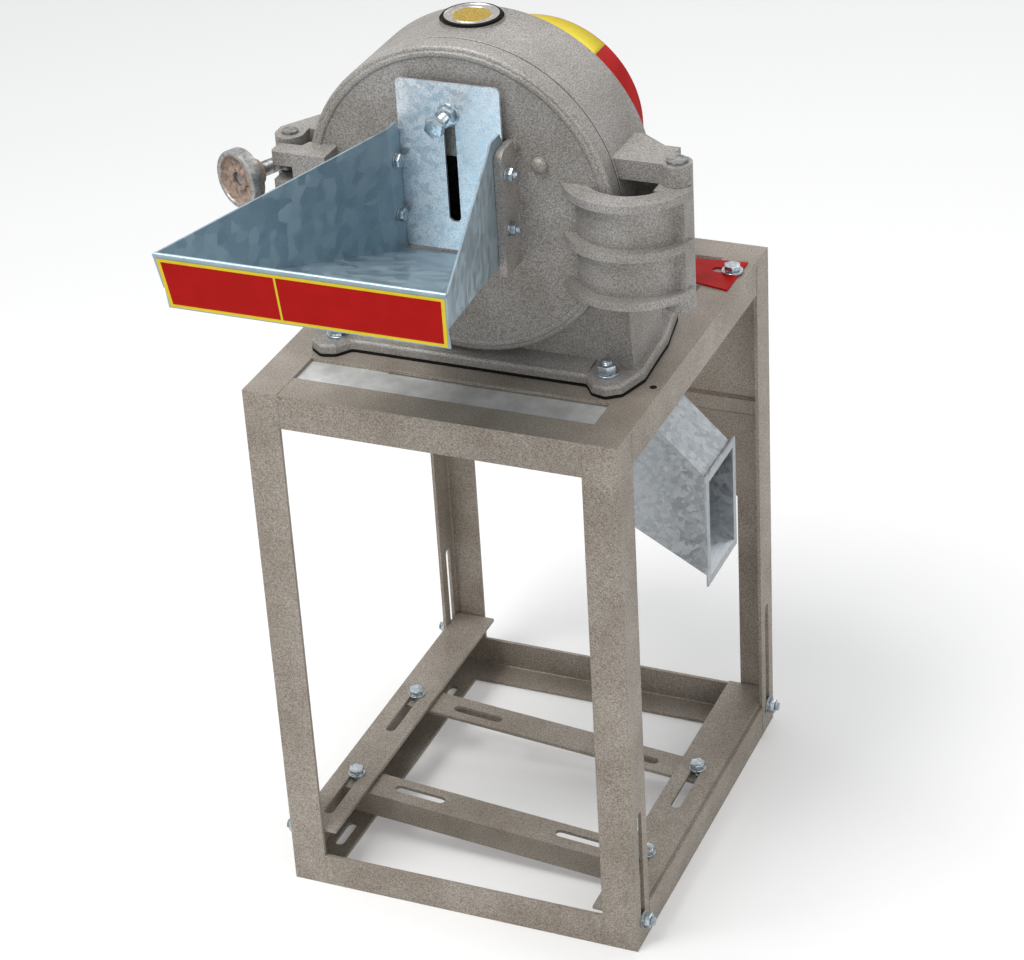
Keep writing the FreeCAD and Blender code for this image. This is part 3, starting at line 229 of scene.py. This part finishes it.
bolt_zinc = plain_metal("zinc_plated_steel", "#cdd5da", "#8f9aa2", 3, 0.30)
turned_steel = plain_metal("turned_steel_oiled", "#a9a9a8", "#6f6f6e", 5, 0.34)
claw_steel = plain_metal("cast_claw_steel", "#7d7a76", "#4b4845", 3, 0.55, 0.25)
screen_steel = plain_metal("slotted_screen_steel", "#b4b4b2", "#7f7f7d", 8, 0.38)
pulley_iron = plain_metal("turned_cast_iron", "#6d6b68", "#403e3c", 4, 0.5, 0.1)
badge_brass = plain_metal("stamped_brass", "#d2b23c", "#9c7f24", 2, 0.34)
badge_grey = plain_metal("stamped_aluminium", "#c4c3c0", "#9a9894", 3, 0.36)
bare_sheet = plain_metal("cold_rolled_sheet", "#d6d6d3", "#b4b4b1", 35, 0.40, 0.05, 0.35)
rim_iron = plain_metal("turned_wheel_rim", "#b3b3b2", "#858482", 4, 0.36, 0.08)
print("metals ready")

# %% [markdown]
# ## Worn iron, gloss paint and printed film
# The handwheel's dished face has lost its paint and browned with rust. The belt guard is sprayed gloss red
# and the fascia carries a glossy film. These are smooth surfaces, so their life is in the gloss and a little
# dust.

# %% Rust, gloss paint and film
def rusted_iron(name):
    material, tree, shader, coords = start_material(name)
    scale = noise(tree, coords, 5, 6.0, 0.65)
    fine = noise(tree, coords, 1.2, 3.0)
    browns = [(0.0, "#6f5a4e"), (0.4, "#957f71"), (0.75, "#a8968a"), (1.0, "#b9aca3")]
    colour = ramp(tree, levels(tree, scale, 0.33, 0.68), browns)
    tree.links.new(colour, shader.inputs["Base Color"])
    tree.links.new(levels(tree, scale, 0.3, 0.7, 0.85, 0.45), shader.inputs["Roughness"])
    bump = add(tree, "ShaderNodeBump", {"Strength": 0.6, "Distance": 0.3 * MM, "Height": fine})
    tree.links.new(bump.outputs[0], shader.inputs["Normal"])
    shader.inputs["Metallic"].default_value = 0.35
    return material


def gloss_coat(name, colour, shade, roughness):
    material, tree, shader, coords = start_material(name)
    dust = noise(tree, coords, 25, 5.0, 0.6)
    coat = ramp(tree, levels(tree, dust, 0.3, 0.75), [(0.0, shade), (1.0, colour)])
    tree.links.new(coat, shader.inputs["Base Color"])
    tree.links.new(levels(tree, dust, 0.3, 0.7, roughness + 0.12, roughness), shader.inputs["Roughness"])
    peel = noise(tree, coords, 2.0, 2.0)
    bump = add(tree, "ShaderNodeBump", {"Strength": 0.12, "Distance": 0.05 * MM, "Height": peel})
    tree.links.new(bump.outputs[0], shader.inputs["Normal"])
    shader.inputs["Specular IOR Level"].default_value = 0.10
    return material


wheel_rust = rusted_iron("rust_browned_cast_iron")
guard_red = gloss_coat("gloss_enamel_red", "#b50602", "#9a0603", 0.36)
film_red = gloss_coat("printed_film_red", "#b50502", "#a80502", 0.40)
film_yellow = gloss_coat("printed_film_yellow", "#e9d336", "#dcc533", 0.40)
# Painted shade: a near-black for the bore and for the badge's rim and seating line.
painted_shade_dark = gloss_coat("shadowed_bore", "#26231f", "#1a1815", 0.8)
# Painted shade: a dark grey for the gap in the parting line.
parting_gap_shade = gloss_coat("grey_painted_shade_in_the_seam", "#625e5a", "#4b4845", 0.85)
# Painted shade: a black for the gap under the base.
base_gap_shade_black = gloss_coat("black_painted_shade_under_base", "#1f1d1b", "#141312", 0.75)
print("coats ready")

# %% [markdown]
# ## Finishes on the solids
# The record names a finish slot for each node. We give every solid the material of its slot, and a few nodes
# that share a slot get their own sheet: the gate is rubbed bright, the chute is greyer than the tray and the
# infill sheets are bare.

# %% Finishes on the solids
finish_of_slot = {
    "stand_paint": angle_paint, "casting_paint": casting_paint, "casting_bolts": casting_paint,
    "galvanised_sheet": tray_zinc, "zinc_fasteners": bolt_zinc, "turned_steel": turned_steel,
    "claw_steel": claw_steel, "screen_steel": screen_steel, "pulley_iron": pulley_iron,
    "wheel_iron": wheel_rust, "guard_paint": guard_red, "badge_metal": badge_brass,
}
finish_of_node = {"slide_gate": gate_zinc, "discharge_chute": chute_zinc, "infill_sheet_left": bare_sheet,
                  "infill_sheet_right": bare_sheet}
slot_of = {entry["node"]: entry["material_slot"] for entry in frame["record"]["subparts"]}
for name, solid in frame["nodes"].items():
    finish = finish_of_node.get(name, finish_of_slot[slot_of[name]])
    if not solid.material_slots:
        solid.data.materials.append(finish)
    for material_slot in solid.material_slots:
        material_slot.material = finish
print("dressed", len(frame["nodes"]), "solids")

# %% [markdown]
# ## Turned and hexagonal shapes
# Most small parts on this mill are turned: washers, threads, pins, the handwheel. A profile of radius and
# height is spun round an axis with bmesh's spin operator. Hexagons start as a six-sided cone and have their
# corners bevelled, as the chamfering tool leaves them. Each shape is made upright and then laid in place. At
# the end its corners and faces are sorted, so that each run gives the same mesh.

# %% Helpers for shapes
def put_in_order(bm):
    """Sorts corners by place and faces by their corners, because spin leaves them in an order of its own."""
    bm.verts.sort(key=lambda vert: vert.co.dot((1, 1e3, 1e6)))
    bm.verts.index_update()
    count = len(bm.verts)

    def rank(face):
        first, second, third = sorted(vert.index for vert in face.verts)[:3]
        return (first * count + second) * count + third

    bm.faces.sort(key=rank)


def finished(name, bm, material, body, smooth=True):
    """Turns a bmesh into a piece that rides on a body."""
    bmesh.ops.remove_doubles(bm, verts=bm.verts[:], dist=0.00001)
    bmesh.ops.recalc_face_normals(bm, faces=bm.faces[:])
    put_in_order(bm)
    mesh = bpy.data.meshes.new(name)
    bm.to_mesh(mesh)
    bm.free()
    mesh.materials.append(material)
    piece = bpy.data.objects.new(name, mesh)
    bpy.context.scene.collection.objects.link(piece)
    if smooth:
        for face in mesh.polygons:
            face.use_smooth = True
        mesh.set_sharp_from_angle(angle=math.radians(32))
    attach(piece, body)
    return piece


def spin_profile(bm, profile, place, steps=36):
    """Spins (radius, height) points round the upright axis, in millimetres, and lays the result at place."""
    made = [bm.verts.new(Vector((radius * MM, 0, height * MM))) for radius, height in profile]
    edges = [bm.edges.new((a, b)) for a, b in zip(made, made[1:])]
    result = bmesh.ops.spin(bm, geom=made + edges, cent=(0, 0, 0), axis=(0, 0, 1), angle=math.tau,
                            steps=steps, use_merge=True)
    seen = {v for edge in edges for v in edge.verts}
    seen |= {v for v in result["geom_last"] if isinstance(v, bmesh.types.BMVert)}
    todo = list(seen)
    while todo:
        for edge in todo.pop().link_edges:
            for v in edge.verts:
                if v not in seen:
                    seen.add(v)
                    todo.append(v)
    bmesh.ops.transform(bm, matrix=place, verts=list(seen))


def hex_block(bm, flats, low, high, place, chamfer=0.7):
    """A hexagon bar with bevelled corners between two heights."""
    made = bmesh.ops.create_cone(bm, cap_ends=True, segments=6, radius1=flats / math.sqrt(3) * MM,
                                 radius2=flats / math.sqrt(3) * MM, depth=(high - low) * MM)["verts"]
    bmesh.ops.translate(bm, verts=made, vec=(0, 0, (low + high) / 2 * MM))
    sides = {e for v in made for e in v.link_edges}
    rims = [e for e in sides if abs(e.verts[0].co.z - e.verts[1].co.z) < 1e-6]
    result = bmesh.ops.bevel(bm, geom=rims, offset=chamfer * MM, segments=2, profile=0.5, affect="EDGES",
                             material=-1)
    verts = {v for face in result["faces"] for v in face.verts}
    bmesh.ops.transform(bm, matrix=place, verts=list(verts))


def thread_profile(radius, low, high, pitch):
    """The zigzag of a screw thread, with a chamfered tip at the high end."""
    points = [(0.0, low), (radius, low)]
    height = low + pitch / 2
    while height < high - pitch:
        points += [(radius, height), (radius - pitch * 0.5, height + pitch / 2)]
        height += pitch
    return points + [(radius, height), (radius - pitch * 0.8, high), (0.0, high)]


def washer_profile(inner, outer, low, high):
    """A flat ring between two radii and two heights, with its outer corners broken."""
    edge = 0.3
    return [(inner, low), (outer - edge, low), (outer, low + edge), (outer, high - edge),
            (outer - edge, high), (inner, high), (inner, low)]


def laid(x, y, z, towards="up"):
    """A placement that points the upright axis a given way, with its foot at x, y, z in millimetres."""
    degrees, axis = {"up": (0, "X"), "down": (180, "X"), "front": (90, "X"), "back": (-90, "X"),
                     "right": (90, "Y"), "left": (-90, "Y")}[towards]
    return Matrix.Translation(Vector((x, y, z)) * MM) @ Matrix.Rotation(math.radians(degrees), 4, axis)


def paint_by_radius(piece, place, zones):
    """Gives faces within each radius (in millimetres, smallest first) of a turned piece its own material."""
    back = place.inverted()
    for _, material in zones:
        piece.data.materials.append(material)
    for face in piece.data.polygons:
        spot = back @ face.center
        for number, (radius, material) in enumerate(zones, 1):
            if math.hypot(spot.x, spot.y) < radius * MM:
                face.material_index = number
                break


print("shape helpers ready")

# %% [markdown]
# ## Bolts and nuts
# The fasteners are zinc-plated: M12 at the feet, M10 on the carriage and the guard, M8 on the tray. Heads and
# nuts keep their real widths across flats, and the shank's end shows its thread under the nut. They replace
# the plain solids in the same places.

# %% Foot bolts and guard bolt
PITCH = {8: 1.25, 10: 1.5, 12: 1.75}
AXIS_HEIGHT = 830


def through_bolt(bm, x, y, z, towards, thread, flats, head, washer_r, washer, grip, nut, tail, turn_deg=0.0):
    """Head and washer on one side of a grip, washer, nut and thread end on the other. z is the head's
    seat."""
    place = laid(x, y, z, towards) @ Matrix.Rotation(math.radians(turn_deg), 4, "Z")
    spin_profile(bm, washer_profile(thread / 2, washer_r, 0, washer), place)
    hex_block(bm, flats, washer, washer + head, place)
    spin_profile(bm, washer_profile(thread / 2, washer_r, -grip - washer, -grip), place)
    hex_block(bm, flats, -grip - washer - nut, -grip - washer, place)
    under = place @ Matrix.Rotation(math.pi, 4, "X")
    spin_profile(bm, thread_profile(thread / 2, grip, grip + washer + tail, PITCH[thread]), under)


base_top = 654
rail_under = 636
bm = bmesh.new()
feet = [(-154, -118, 12), (154, -118, 40), (-146, 43, 5), (146, 43, 25)]
for x, y, turn in feet:
    through_bolt(bm, x, y, rail_under, "down", thread=12, flats=18, head=7.5, washer_r=12, washer=2.5,
                 grip=base_top - rail_under, nut=9.6, tail=15, turn_deg=turn)
foot_bolts = finished("foot_bolt_set", bm, bolt_zinc, "stand")
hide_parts("foot_bolts")
bm = bmesh.new()
through_bolt(bm, 193, 165, 642, "up", thread=10, flats=17, head=6.3, washer_r=12, washer=2.5,
             grip=6, nut=8, tail=10, turn_deg=18)
guard_bolt = finished("guard_bolt_dressed", bm, bolt_zinc, "stand")
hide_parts("guard_bolt")
print("foot bolts:", len(feet))

# %% Tray bolts and their nuts
tray_bolt_y = -145
wall_inside = 55.7
cheek_outside = 66
bolts = bmesh.new()
nuts = bmesh.new()
for side, towards, back in ((-1, "right", "left"), (1, "left", "right")):
    for height, turn in ((821, 10), (881, 35)):
        twist = Matrix.Rotation(math.radians(turn), 4, "Z")
        seat = laid(wall_inside * side, tray_bolt_y, height, towards) @ twist
        spin_profile(bolts, washer_profile(4, 8, 0, 1.6), seat)
        hex_block(bolts, 13, 1.6, 6.6, seat)
        shank = laid(wall_inside * side, tray_bolt_y, height, back)
        spin_profile(bolts, thread_profile(3.98, 0, 23.5, PITCH[8]), shank)
        outside = laid(cheek_outside * side, tray_bolt_y, height, back) @ twist
        spin_profile(nuts, washer_profile(4.1, 8, 0, 1.6), outside)
        hex_block(nuts, 13, 1.6, 8.1, outside)
tray_bolts = finished("tray_bolt_set", bolts, bolt_zinc, "door")
tray_nuts = finished("tray_nut_set", nuts, bolt_zinc, "door")
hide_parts("tray_bolts")
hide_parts("tray_nuts")
print("tray bolts and nuts: 4 of each")

# %% Domed bolts of the fixed disc
bm = bmesh.new()
dome = [(0, 7), (4, 6.6), (7, 5), (8.6, 2.6), (9, 0), (4, 0), (4, -30), (0, -30)]
bolt_circle = 106
door_face_y = -120
for angle in (30, 150, 270):
    x = bolt_circle * math.cos(math.radians(angle))
    z = AXIS_HEIGHT + bolt_circle * math.sin(math.radians(angle))
    spin_profile(bm, dome, laid(x, door_face_y, z, "front"), 32)
disc_bolts = finished("disc_bolt_domes", bm, casting_paint, "door")
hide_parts("fixed_disc_bolts")
print("disc bolts: 3")

# %% Gate clamp bolt and its lock nut
bolt_z = 932
gate_face = -131
head_reach = 38
nut_gap = 0.06
bm = bmesh.new()
clamp = laid(0, gate_face - head_reach, bolt_z, "back") @ Matrix.Rotation(math.radians(14), 4, "Z")
hex_block(bm, 19, 0, 8, clamp, chamfer=1.1)
spin_profile(bm, thread_profile(5.94, 8, 54.6, PITCH[12]), clamp)
clamp_bolt = finished("gate_clamp_bolt_dressed", bm, bolt_zinc, "gate_bolt")
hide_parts("gate_clamp_bolt")
bm = bmesh.new()
nut_place = laid(0, gate_face - nut_gap, bolt_z, "front") @ Matrix.Rotation(math.radians(8), 4, "Z")
spin_profile(bm, washer_profile(6, 12, 0, 2.5), nut_place)
hex_block(bm, 19, 2.5, 11.5, nut_place, chamfer=1.0)
lock_nut = finished("gate_lock_nut_dressed", bm, bolt_zinc, "gate_nut")
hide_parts("gate_lock_nut")
print("gate fasteners at height", bolt_z)

# %% Carriage bolts and clamp bolts
side_bolt_y = 217.5
flange_inside, flange_outside = 202, 210
rail_tops = {"left": 74, "right": 46}
for side, sign, towards in (("left", -1, "right"), ("right", 1, "left")):
    bm = bmesh.new()
    for y, turn in ((-side_bolt_y, 12), (side_bolt_y, 33)):
        height = rail_tops[side] - 15
        inner = laid(flange_inside * sign, y, height, towards) @ Matrix.Rotation(math.radians(turn), 4, "Z")
        hex_block(bm, 16, 0, 6, inner)
        outer = laid(flange_outside * sign, y, height, side)
        spin_profile(bm, washer_profile(5, 10, 0, 2), outer)
        hex_block(bm, 16, 2, 10, outer)
        spin_profile(bm, thread_profile(5, -8, 14, PITCH[10]), outer)
    piece = finished(f"leg_bolts_{side}", bm, bolt_zinc, "carriage")
    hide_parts(f"carriage_bolts_{side}")

clamp_x = 180
washer_gap = 0.03
rail_wall, rail_span, left_contact, clearance = 4, 346, 190, 0.15
slope = (rail_tops["left"] - rail_tops["right"]) / rail_span
middle_height = rail_tops["left"] - rail_wall - left_contact * slope - clearance
for end, y in (("front", -123), ("rear", 48)):
    bm = bmesh.new()
    for side, sign, turn in (("left", -1, 20), ("right", 1, 5)):
        top = rail_tops[side]
        under = middle_height - slope * clamp_x * sign - 5
        place = laid(clamp_x * sign, y, top + washer_gap) @ Matrix.Rotation(math.radians(turn), 4, "Z")
        spin_profile(bm, washer_profile(5, 10, 0, 2), place)
        hex_block(bm, 16, 2, 8.4, place)
        below = laid(clamp_x * sign, y, under, "down")
        hex_block(bm, 16, 0, 8, below)
        spin_profile(bm, thread_profile(5, under - top - 1, 11, PITCH[10]), below)
    piece = finished(f"rail_clamps_{end}", bm, bolt_zinc, f"{end}_motor_rail")
    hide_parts(f"clamp_bolts_{end}")
print("carriage fasteners done")

# %% [markdown]
# ## The handwheel
# The latch is tightened by a small cast handwheel with a thick round rim and a dished face. It is a turned
# shape: the profile runs from the hub's seat round the rim and into the dish, and the bolt's end stands in
# the middle. It is drawn along the swing bolt, which rests turned out of the door's lug.

# %% Handwheel
latch_pin = Vector((-192, -110, 852)) * MM
rest_angle = math.radians(25)
outwards = Matrix.Rotation(-rest_angle, 4, "Z") @ Matrix.Rotation(math.pi / 2, 4, "X")
bolt_line = Matrix.Translation(latch_pin) @ outwards
bm = bmesh.new()
rim = 31.5
wheel_profile = [(8.06, 46), (14, 46), (14.6, 58), (17, 60), (rim - 2.5, 60), (rim - 0.6, 61), (rim, 62.6),
                 (rim, 73.5), (rim - 0.5, 75), (rim - 2, 76), (rim - 4.5, 76), (rim - 5.8, 75),
                 (rim - 7.2, 71.5), (22, 70), (16, 69.4), (13.6, 70), (12.4, 72), (8.06, 72), (8.06, 46)]
spin_profile(bm, wheel_profile, bolt_line, 64)
wheel = finished("handwheel_turned", bm, rim_iron, "latch_wheel")
paint_by_radius(wheel, bolt_line, [(rim - 5.5, wheel_rust)])
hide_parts("handwheel")
bm = bmesh.new()
spin_profile(bm, thread_profile(8, 12.5, 70, 2.0), bolt_line, 40)
spin_profile(bm, washer_profile(6.06, 14, -10, 10), Matrix.Translation(latch_pin), 48)
swing_bolt = finished("swing_bolt_threaded", bm, turned_steel, "latch")
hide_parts("swing_bolt")
print("handwheel diameter", rim * 2, "mm")

# %% [markdown]
# ## The badge
# A round stamped plate sits on the drum's crown. It is left bare: a raised rim, a flat field and a seating
# line.
# The rim and the seating line are painted near-black, as painted shade round the badge's edge.

# %% Badge
badge_low, badge_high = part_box("badge_disc")
centre_x = (badge_low[0] + badge_high[0]) / 2 / MM
centre_y = (badge_low[1] + badge_high[1]) / 2 / MM
seat = badge_low[2] / MM
bm = bmesh.new()
badge_profile = [(0, 0), (31.2, 0), (31.5, 0.5), (31.5, 2.2), (30.6, 3.0), (28.6, 3.0), (27.6, 1.9),
                 (22, 1.7), (21.4, 2.3), (20.6, 2.3), (20, 1.7), (0, 1.9)]
badge_place = laid(centre_x, centre_y, seat)
spin_profile(bm, badge_profile, badge_place, 72)
badge = finished("badge_plate", bm, badge_grey, "stand")
paint_by_radius(badge, badge_place, [(17, badge_brass), (28.4, badge_grey), (40, painted_shade_dark)])
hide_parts("badge_disc")
bm = bmesh.new()
# The seating line is a dark ring just outside the badge: painted shade in the crevice at its edge.
seat_line = [(31.5, 0.02), (33.2, 0.02), (33.4, -1.5), (31.5, -1.5), (31.5, 0.02)]
spin_profile(bm, seat_line, badge_place, 72)
finished("badge_seat_line", bm, painted_shade_dark, "stand")
print("badge at", round(centre_x), round(centre_y))

# %% [markdown]
# ## The parting line
# Door and drum meet in a shallow V. A slim dark ring lies at the bottom of the V, a little below both
# castings:
# it is painted shade in the gap, so the joint reads as a line from a distance.

# %% Painted shade in the parting line
bm = bmesh.new()
line_profile = [(166.5, -0.6), (169.3, -1.3), (169.6, 0), (169.3, 1.3), (166.5, 0.6), (166.5, -0.6)]
parting_y = -97
spin_profile(bm, line_profile, laid(0, parting_y, AXIS_HEIGHT, "front"), 128)
finished("parting_line_painted_shade", bm, parting_gap_shade, "stand")
print("parting line at radius", line_profile[2][0])

# %% [markdown]
# ## Painted shade under the base
# The base sits flush on the rails. A thin black strip under its flange is painted shade that stands in for
# the dark gap there, so a dark line shows under the casting. The strip follows the base's outline: each
# corner is an arc, and the strip's two edges are the same outline drawn a little outside and a little inside
# it.

# %% Painted shade strip under the base
def rounded_outline(points, radius, grow, steps=5):
    """The points of a counterclockwise outline with round corners, moved outwards by grow, in millimetres."""
    outline = []
    for number, spot in enumerate(points):
        corner = Vector(spot)
        back = (Vector(points[number - 1]) - corner).normalized()
        ahead = (Vector(points[(number + 1) % len(points)]) - corner).normalized()
        half = back.angle(ahead) / 2
        centre = corner + (back + ahead).normalized() * (radius / math.sin(half))
        start = (corner + back * (radius / math.tan(half)) - centre).normalized()
        end = (corner + ahead * (radius / math.tan(half)) - centre).normalized()
        reach = radius + (grow if ahead.cross(back) > 0 else -grow)
        outline += [centre + start.slerp(end, step / steps) * reach for step in range(steps + 1)]
    return outline


base_right = [(134, -126), (146, -142), (162, -146), (177, -135), (188, -98), (186, -64), (184, -18),
              (173, 43), (162, 60), (132, 60), (118, 34)]
base_outline = base_right + [(-x, y) for x, y in reversed(base_right)]
outer, inner = (rounded_outline(base_outline, 6, grow) for grow in (0.5, -1.0))
shade_strip_low, shade_strip_high = 640.02, 643.5
bm = bmesh.new()
loops = [[bm.verts.new(Vector((spot.x, spot.y, height)) * MM) for spot in line]
         for line, height in ((outer, shade_strip_low), (outer, shade_strip_high), (inner, shade_strip_high),
                              (inner, shade_strip_low))]
for this, other in zip(loops, loops[1:] + loops[:1]):
    for number in range(len(this)):
        bm.faces.new((this[number - 1], this[number], other[number], other[number - 1]))
base_shade_strip = finished("base_shade_strip_piece", bm, base_gap_shade_black, "stand")
print("packing faces:", len(base_shade_strip.data.polygons))

# %% [markdown]
# ## Film on the fascia and the guard
# The tray's front carries a red film with a yellow frame and a divider, and the guard's crown carries a
# yellow one. Both are left bare. Film is about a tenth of a millimetre thick, so each is a thin plate laid
# just off the sheet. The fascia leans, so its plate is built flat and then laid on the lean.

# %% Film on the fascia
FILM_THICKNESS = 0.15
lip_y, foot_y = -478, -467.74
top_z, low_z = 920, 860
lean = math.hypot(lip_y - foot_y, top_z - low_z)
lean_angle = math.atan2(foot_y - lip_y, top_z - low_z)
fascia = laid(0, foot_y, low_z) @ Matrix.Rotation(lean_angle, 4, "X") @ Matrix.Rotation(math.pi / 2, 4, "X")


def film(bm, x1, x2, low, high, lift, flare):
    """A thin plate on the fascia, x across and height up along the lean. Its outer ends follow the flare."""
    bmesh.ops.create_cube(bm, size=1.0)
    new = [v for v in bm.verts if not v.tag]
    for v in new:
        v.tag = True
        up = low if v.co.y < 0 else high
        wide = flare * (up - low)
        if v.co.x < 0:
            x = x1 - wide if x1 < -100 else x1
        else:
            x = x2 + wide if x2 > 100 else x2
        v.co = Vector((x, up, lift if v.co.z > 0 else lift - FILM_THICKNESS)) * MM
    bmesh.ops.transform(bm, matrix=fascia, verts=new)


half_at_foot, half_at_lip = 142.5, 147
flare = (half_at_lip - half_at_foot) / lean
bm = bmesh.new()
film(bm, -half_at_foot, half_at_foot, 1.5, lean - 4.5, 0.35, flare)
finished("fascia_film_frame", bm, film_yellow, "door", smooth=False)
bm = bmesh.new()
film(bm, -139, -26, 5, lean - 8, 0.55, flare)
film(bm, -23.6, 139, 5, lean - 8, 0.55, flare)
finished("fascia_film_field", bm, film_red, "door", smooth=False)
print("fascia height", round(lean, 1), "mm")

# %% Film on the guard
film_radius = 112.35
film_edges = (63.5, 116.5)
film_start, film_span = -50, 80
bm = bmesh.new()
corners = [bm.verts.new(Vector((film_radius, y, 0)) * MM) for y in film_edges]
edge = bm.edges.new(corners)
bmesh.ops.rotate(bm, verts=corners, cent=(0, 0, 0), matrix=Matrix.Rotation(math.radians(film_start), 3, "Y"))
bmesh.ops.spin(bm, geom=corners + [edge], cent=(0, 0, 0), axis=(0, -1, 0), angle=math.radians(film_span),
               steps=40)
bmesh.ops.transform(bm, matrix=laid(0, 0, AXIS_HEIGHT), verts=bm.verts[:])
yellow = finished("guard_film", bm, film_yellow, "stand")
thick = yellow.modifiers.new("film_thickness", "SOLIDIFY")
thick.thickness = FILM_THICKNESS * MM
thick.offset = 0
print("guard film spans", film_span, "degrees")

# %% [markdown]
# ## Weld beads
# The frame's corners are arc-welded and roughly ground. A short bead shows as a low, uneven ridge along
# each joint. Each bead is a slim turned rod whose radius swells and shrinks along a repeatable wave, so it
# looks laid by hand. The beads on the stand's rear face are ground flush, so none is made there.

# %% Weld beads
def bead(bm, start, end, radius):
    """A low rippled bead between two points in millimetres."""
    a, b = Vector(start), Vector(end)
    length = (b - a).length
    rings = max(3, int(length / 1.1))
    profile = [(0, 0)]
    for ring in range(rings + 1):
        height = length * ring / rings
        wave = 1 + 0.16 * math.sin(height * 2.9 + start[0] * 0.7) + 0.1 * math.sin(height * 1.3 + start[1])
        profile.append((radius * wave, height))
    turn = Vector((0, 0, 1)).rotation_difference(b - a).to_matrix().to_4x4()
    spin_profile(bm, profile + [(0, length)], Matrix.Translation(a * MM) @ turn, 8)


half_wide, half_deep, frame_top, leg = 210, 237.5, 640, 40
sunk = 0.6
thick_bead = 1.5
low_ends, high_ends = (5, leg - 1), (frame_top - leg + 1, frame_top - 5)
bm = bmesh.new()
for sx in (-1, 1):
    side_x = (half_wide - sunk) * sx
    for sy in (-1, 1):
        x, y = (half_wide - leg) * sx, (half_deep - leg) * sy
        if sy < 0:
            for low, high in (high_ends, low_ends):
                bead(bm, (x, sunk - half_deep, low), (x, sunk - half_deep, high), thick_bead)
        for low, high in (high_ends, low_ends):
            bead(bm, (side_x, y, low), (side_x, y, high), thick_bead)
        bead(bm, (x, y, frame_top - 0.7), (x, (half_deep - 1) * sy, frame_top - 0.7), 1.3)
    for y in (-151, -102, 21, 69):
        x, z = (half_wide - leg) * sx, frame_top - 5
        bead(bm, (x, y, z), (x, y + (3 if y < 60 else -3), z), 1.6)
welds = finished("weld_beads", bm, angle_paint, "stand")
print("weld faces:", len(welds.data.polygons))

# %% [markdown]
# ## Spot welds and the stray hole
# The chute's folded seams are spot-welded, which leaves shallow round marks, and the right top rail has one
# small drilled hole that nothing uses. The hole is a thin dark disc on the rail's top, painted shade for the
# bore.

# %% Spot welds and hole
bm = bmesh.new()
spot_profile = [(0, 0.25), (2.2, 0.2), (3.2, 0.45), (3.8, 0.0), (3.8, -0.3), (0, -0.3)]
chute_side_y = -101.5
for x, z in ((150, 585), (176, 556), (206, 540), (232, 520)):
    spin_profile(bm, spot_profile, laid(x, chute_side_y, z, "front"), 20)
finished("chute_spot_welds", bm, chute_zinc, "stand")
bm = bmesh.new()
# A thin dark disc on the rail's top: painted shade for the hole's bore.
hole_profile = [(0, 0.06), (4, 0.06), (4, -0.5), (0, -0.5)]
spin_profile(bm, hole_profile, laid(200, -106.5, frame_top), 24)
finished("top_rail_hole", bm, painted_shade_dark, "stand")
print("marks done")

# %% [markdown]
# ## Floor, light and camera
# The object stands on a pale floor in soft studio light: a large key from the upper left, a fill from the
# right and a weak light behind. The background is white to the camera. The camera is a long lens from the
# front right, looking down about thirty degrees, with a slight roll.

# %% Floor and world
bpy.ops.mesh.primitive_plane_add(size=40, location=(0, 0, -0.0004))
floor = bpy.context.object
floor.name = "studio_floor"
material, tree, shader, coords = start_material("pale_studio_floor")
shader.inputs["Base Color"].default_value = linear("#f2f1ef")
shader.inputs["Roughness"].default_value = 0.7
to_camera = add(tree, "ShaderNodeLightPath").outputs["Is Camera Ray"]
shader.inputs["Emission Color"].default_value = linear("#ffffff")
tree.links.new(levels(tree, to_camera, 0.0, 1.0, 0.0, 0.12), shader.inputs["Emission Strength"])
floor.data.materials.append(material)

world = bpy.data.worlds.new("studio")
bpy.context.scene.world = world
world.use_nodes = True
tree = world.node_tree
tree.nodes.clear()
path = add(tree, "ShaderNodeLightPath")
seen = add(tree, "ShaderNodeMath", {0: path.outputs["Is Camera Ray"], 1: path.outputs["Is Glossy Ray"]},
           operation="MAXIMUM")
clear = add(tree, "ShaderNodeMath", {0: seen.outputs[0], 1: path.outputs["Is Transmission Ray"]},
            operation="MAXIMUM")
ambient = add(tree, "ShaderNodeBackground", {"Color": linear("#eef1f5"), "Strength": 0.62})
white = add(tree, "ShaderNodeBackground", {"Color": linear("#ffffff"), "Strength": 1.0})
both = add(tree, "ShaderNodeMixShader", {0: clear.outputs[0], 1: ambient.outputs[0], 2: white.outputs[0]})
add(tree, "ShaderNodeOutputWorld", {"Surface": both.outputs[0]})


def lamp(name, place, aim, size, watts, colour="#ffffff"):
    light = bpy.data.lights.new(name, "AREA")
    light.size = size
    light.energy = watts
    light.color = linear(colour)[:3]
    holder = bpy.data.objects.new(name, light)
    bpy.context.scene.collection.objects.link(holder)
    holder.location = place
    holder.rotation_euler = (Vector(aim) - Vector(place)).to_track_quat("-Z", "Y").to_euler()


lamp("key", (-0.7, -1.3, 3.5), (0, 0, 0.6), 1.6, 84)
lamp("fill", (2.8, -1.6, 1.5), (0, 0, 0.5), 1.8, 18)
lamp("back", (0.8, 2.6, 2.8), (0, 0, 0.7), 1.6, 16)
print("lights set")

# %% Camera
camera_data = bpy.data.cameras.new("camera")
camera_data.lens = 105.2
camera_data.sensor_width = 36.0
camera = bpy.data.objects.new("camera", camera_data)
bpy.context.scene.collection.objects.link(camera)
camera_place = Vector((1.17788, -2.63522, 2.12282))
right = Vector((0.9222, 0.3830, -0.0533)).normalized()
forward = Vector((-0.3558, 0.7865, -0.5048)).normalized()
up = right.cross(forward).normalized()
right = forward.cross(up).normalized()
camera.matrix_world = Matrix.Translation(camera_place) @ Matrix((right, up, -forward)).transposed().to_4x4()
bpy.context.scene.camera = camera
bpy.context.scene.view_settings.view_transform = "Standard"
print("camera at", tuple(round(c, 3) for c in camera_place))
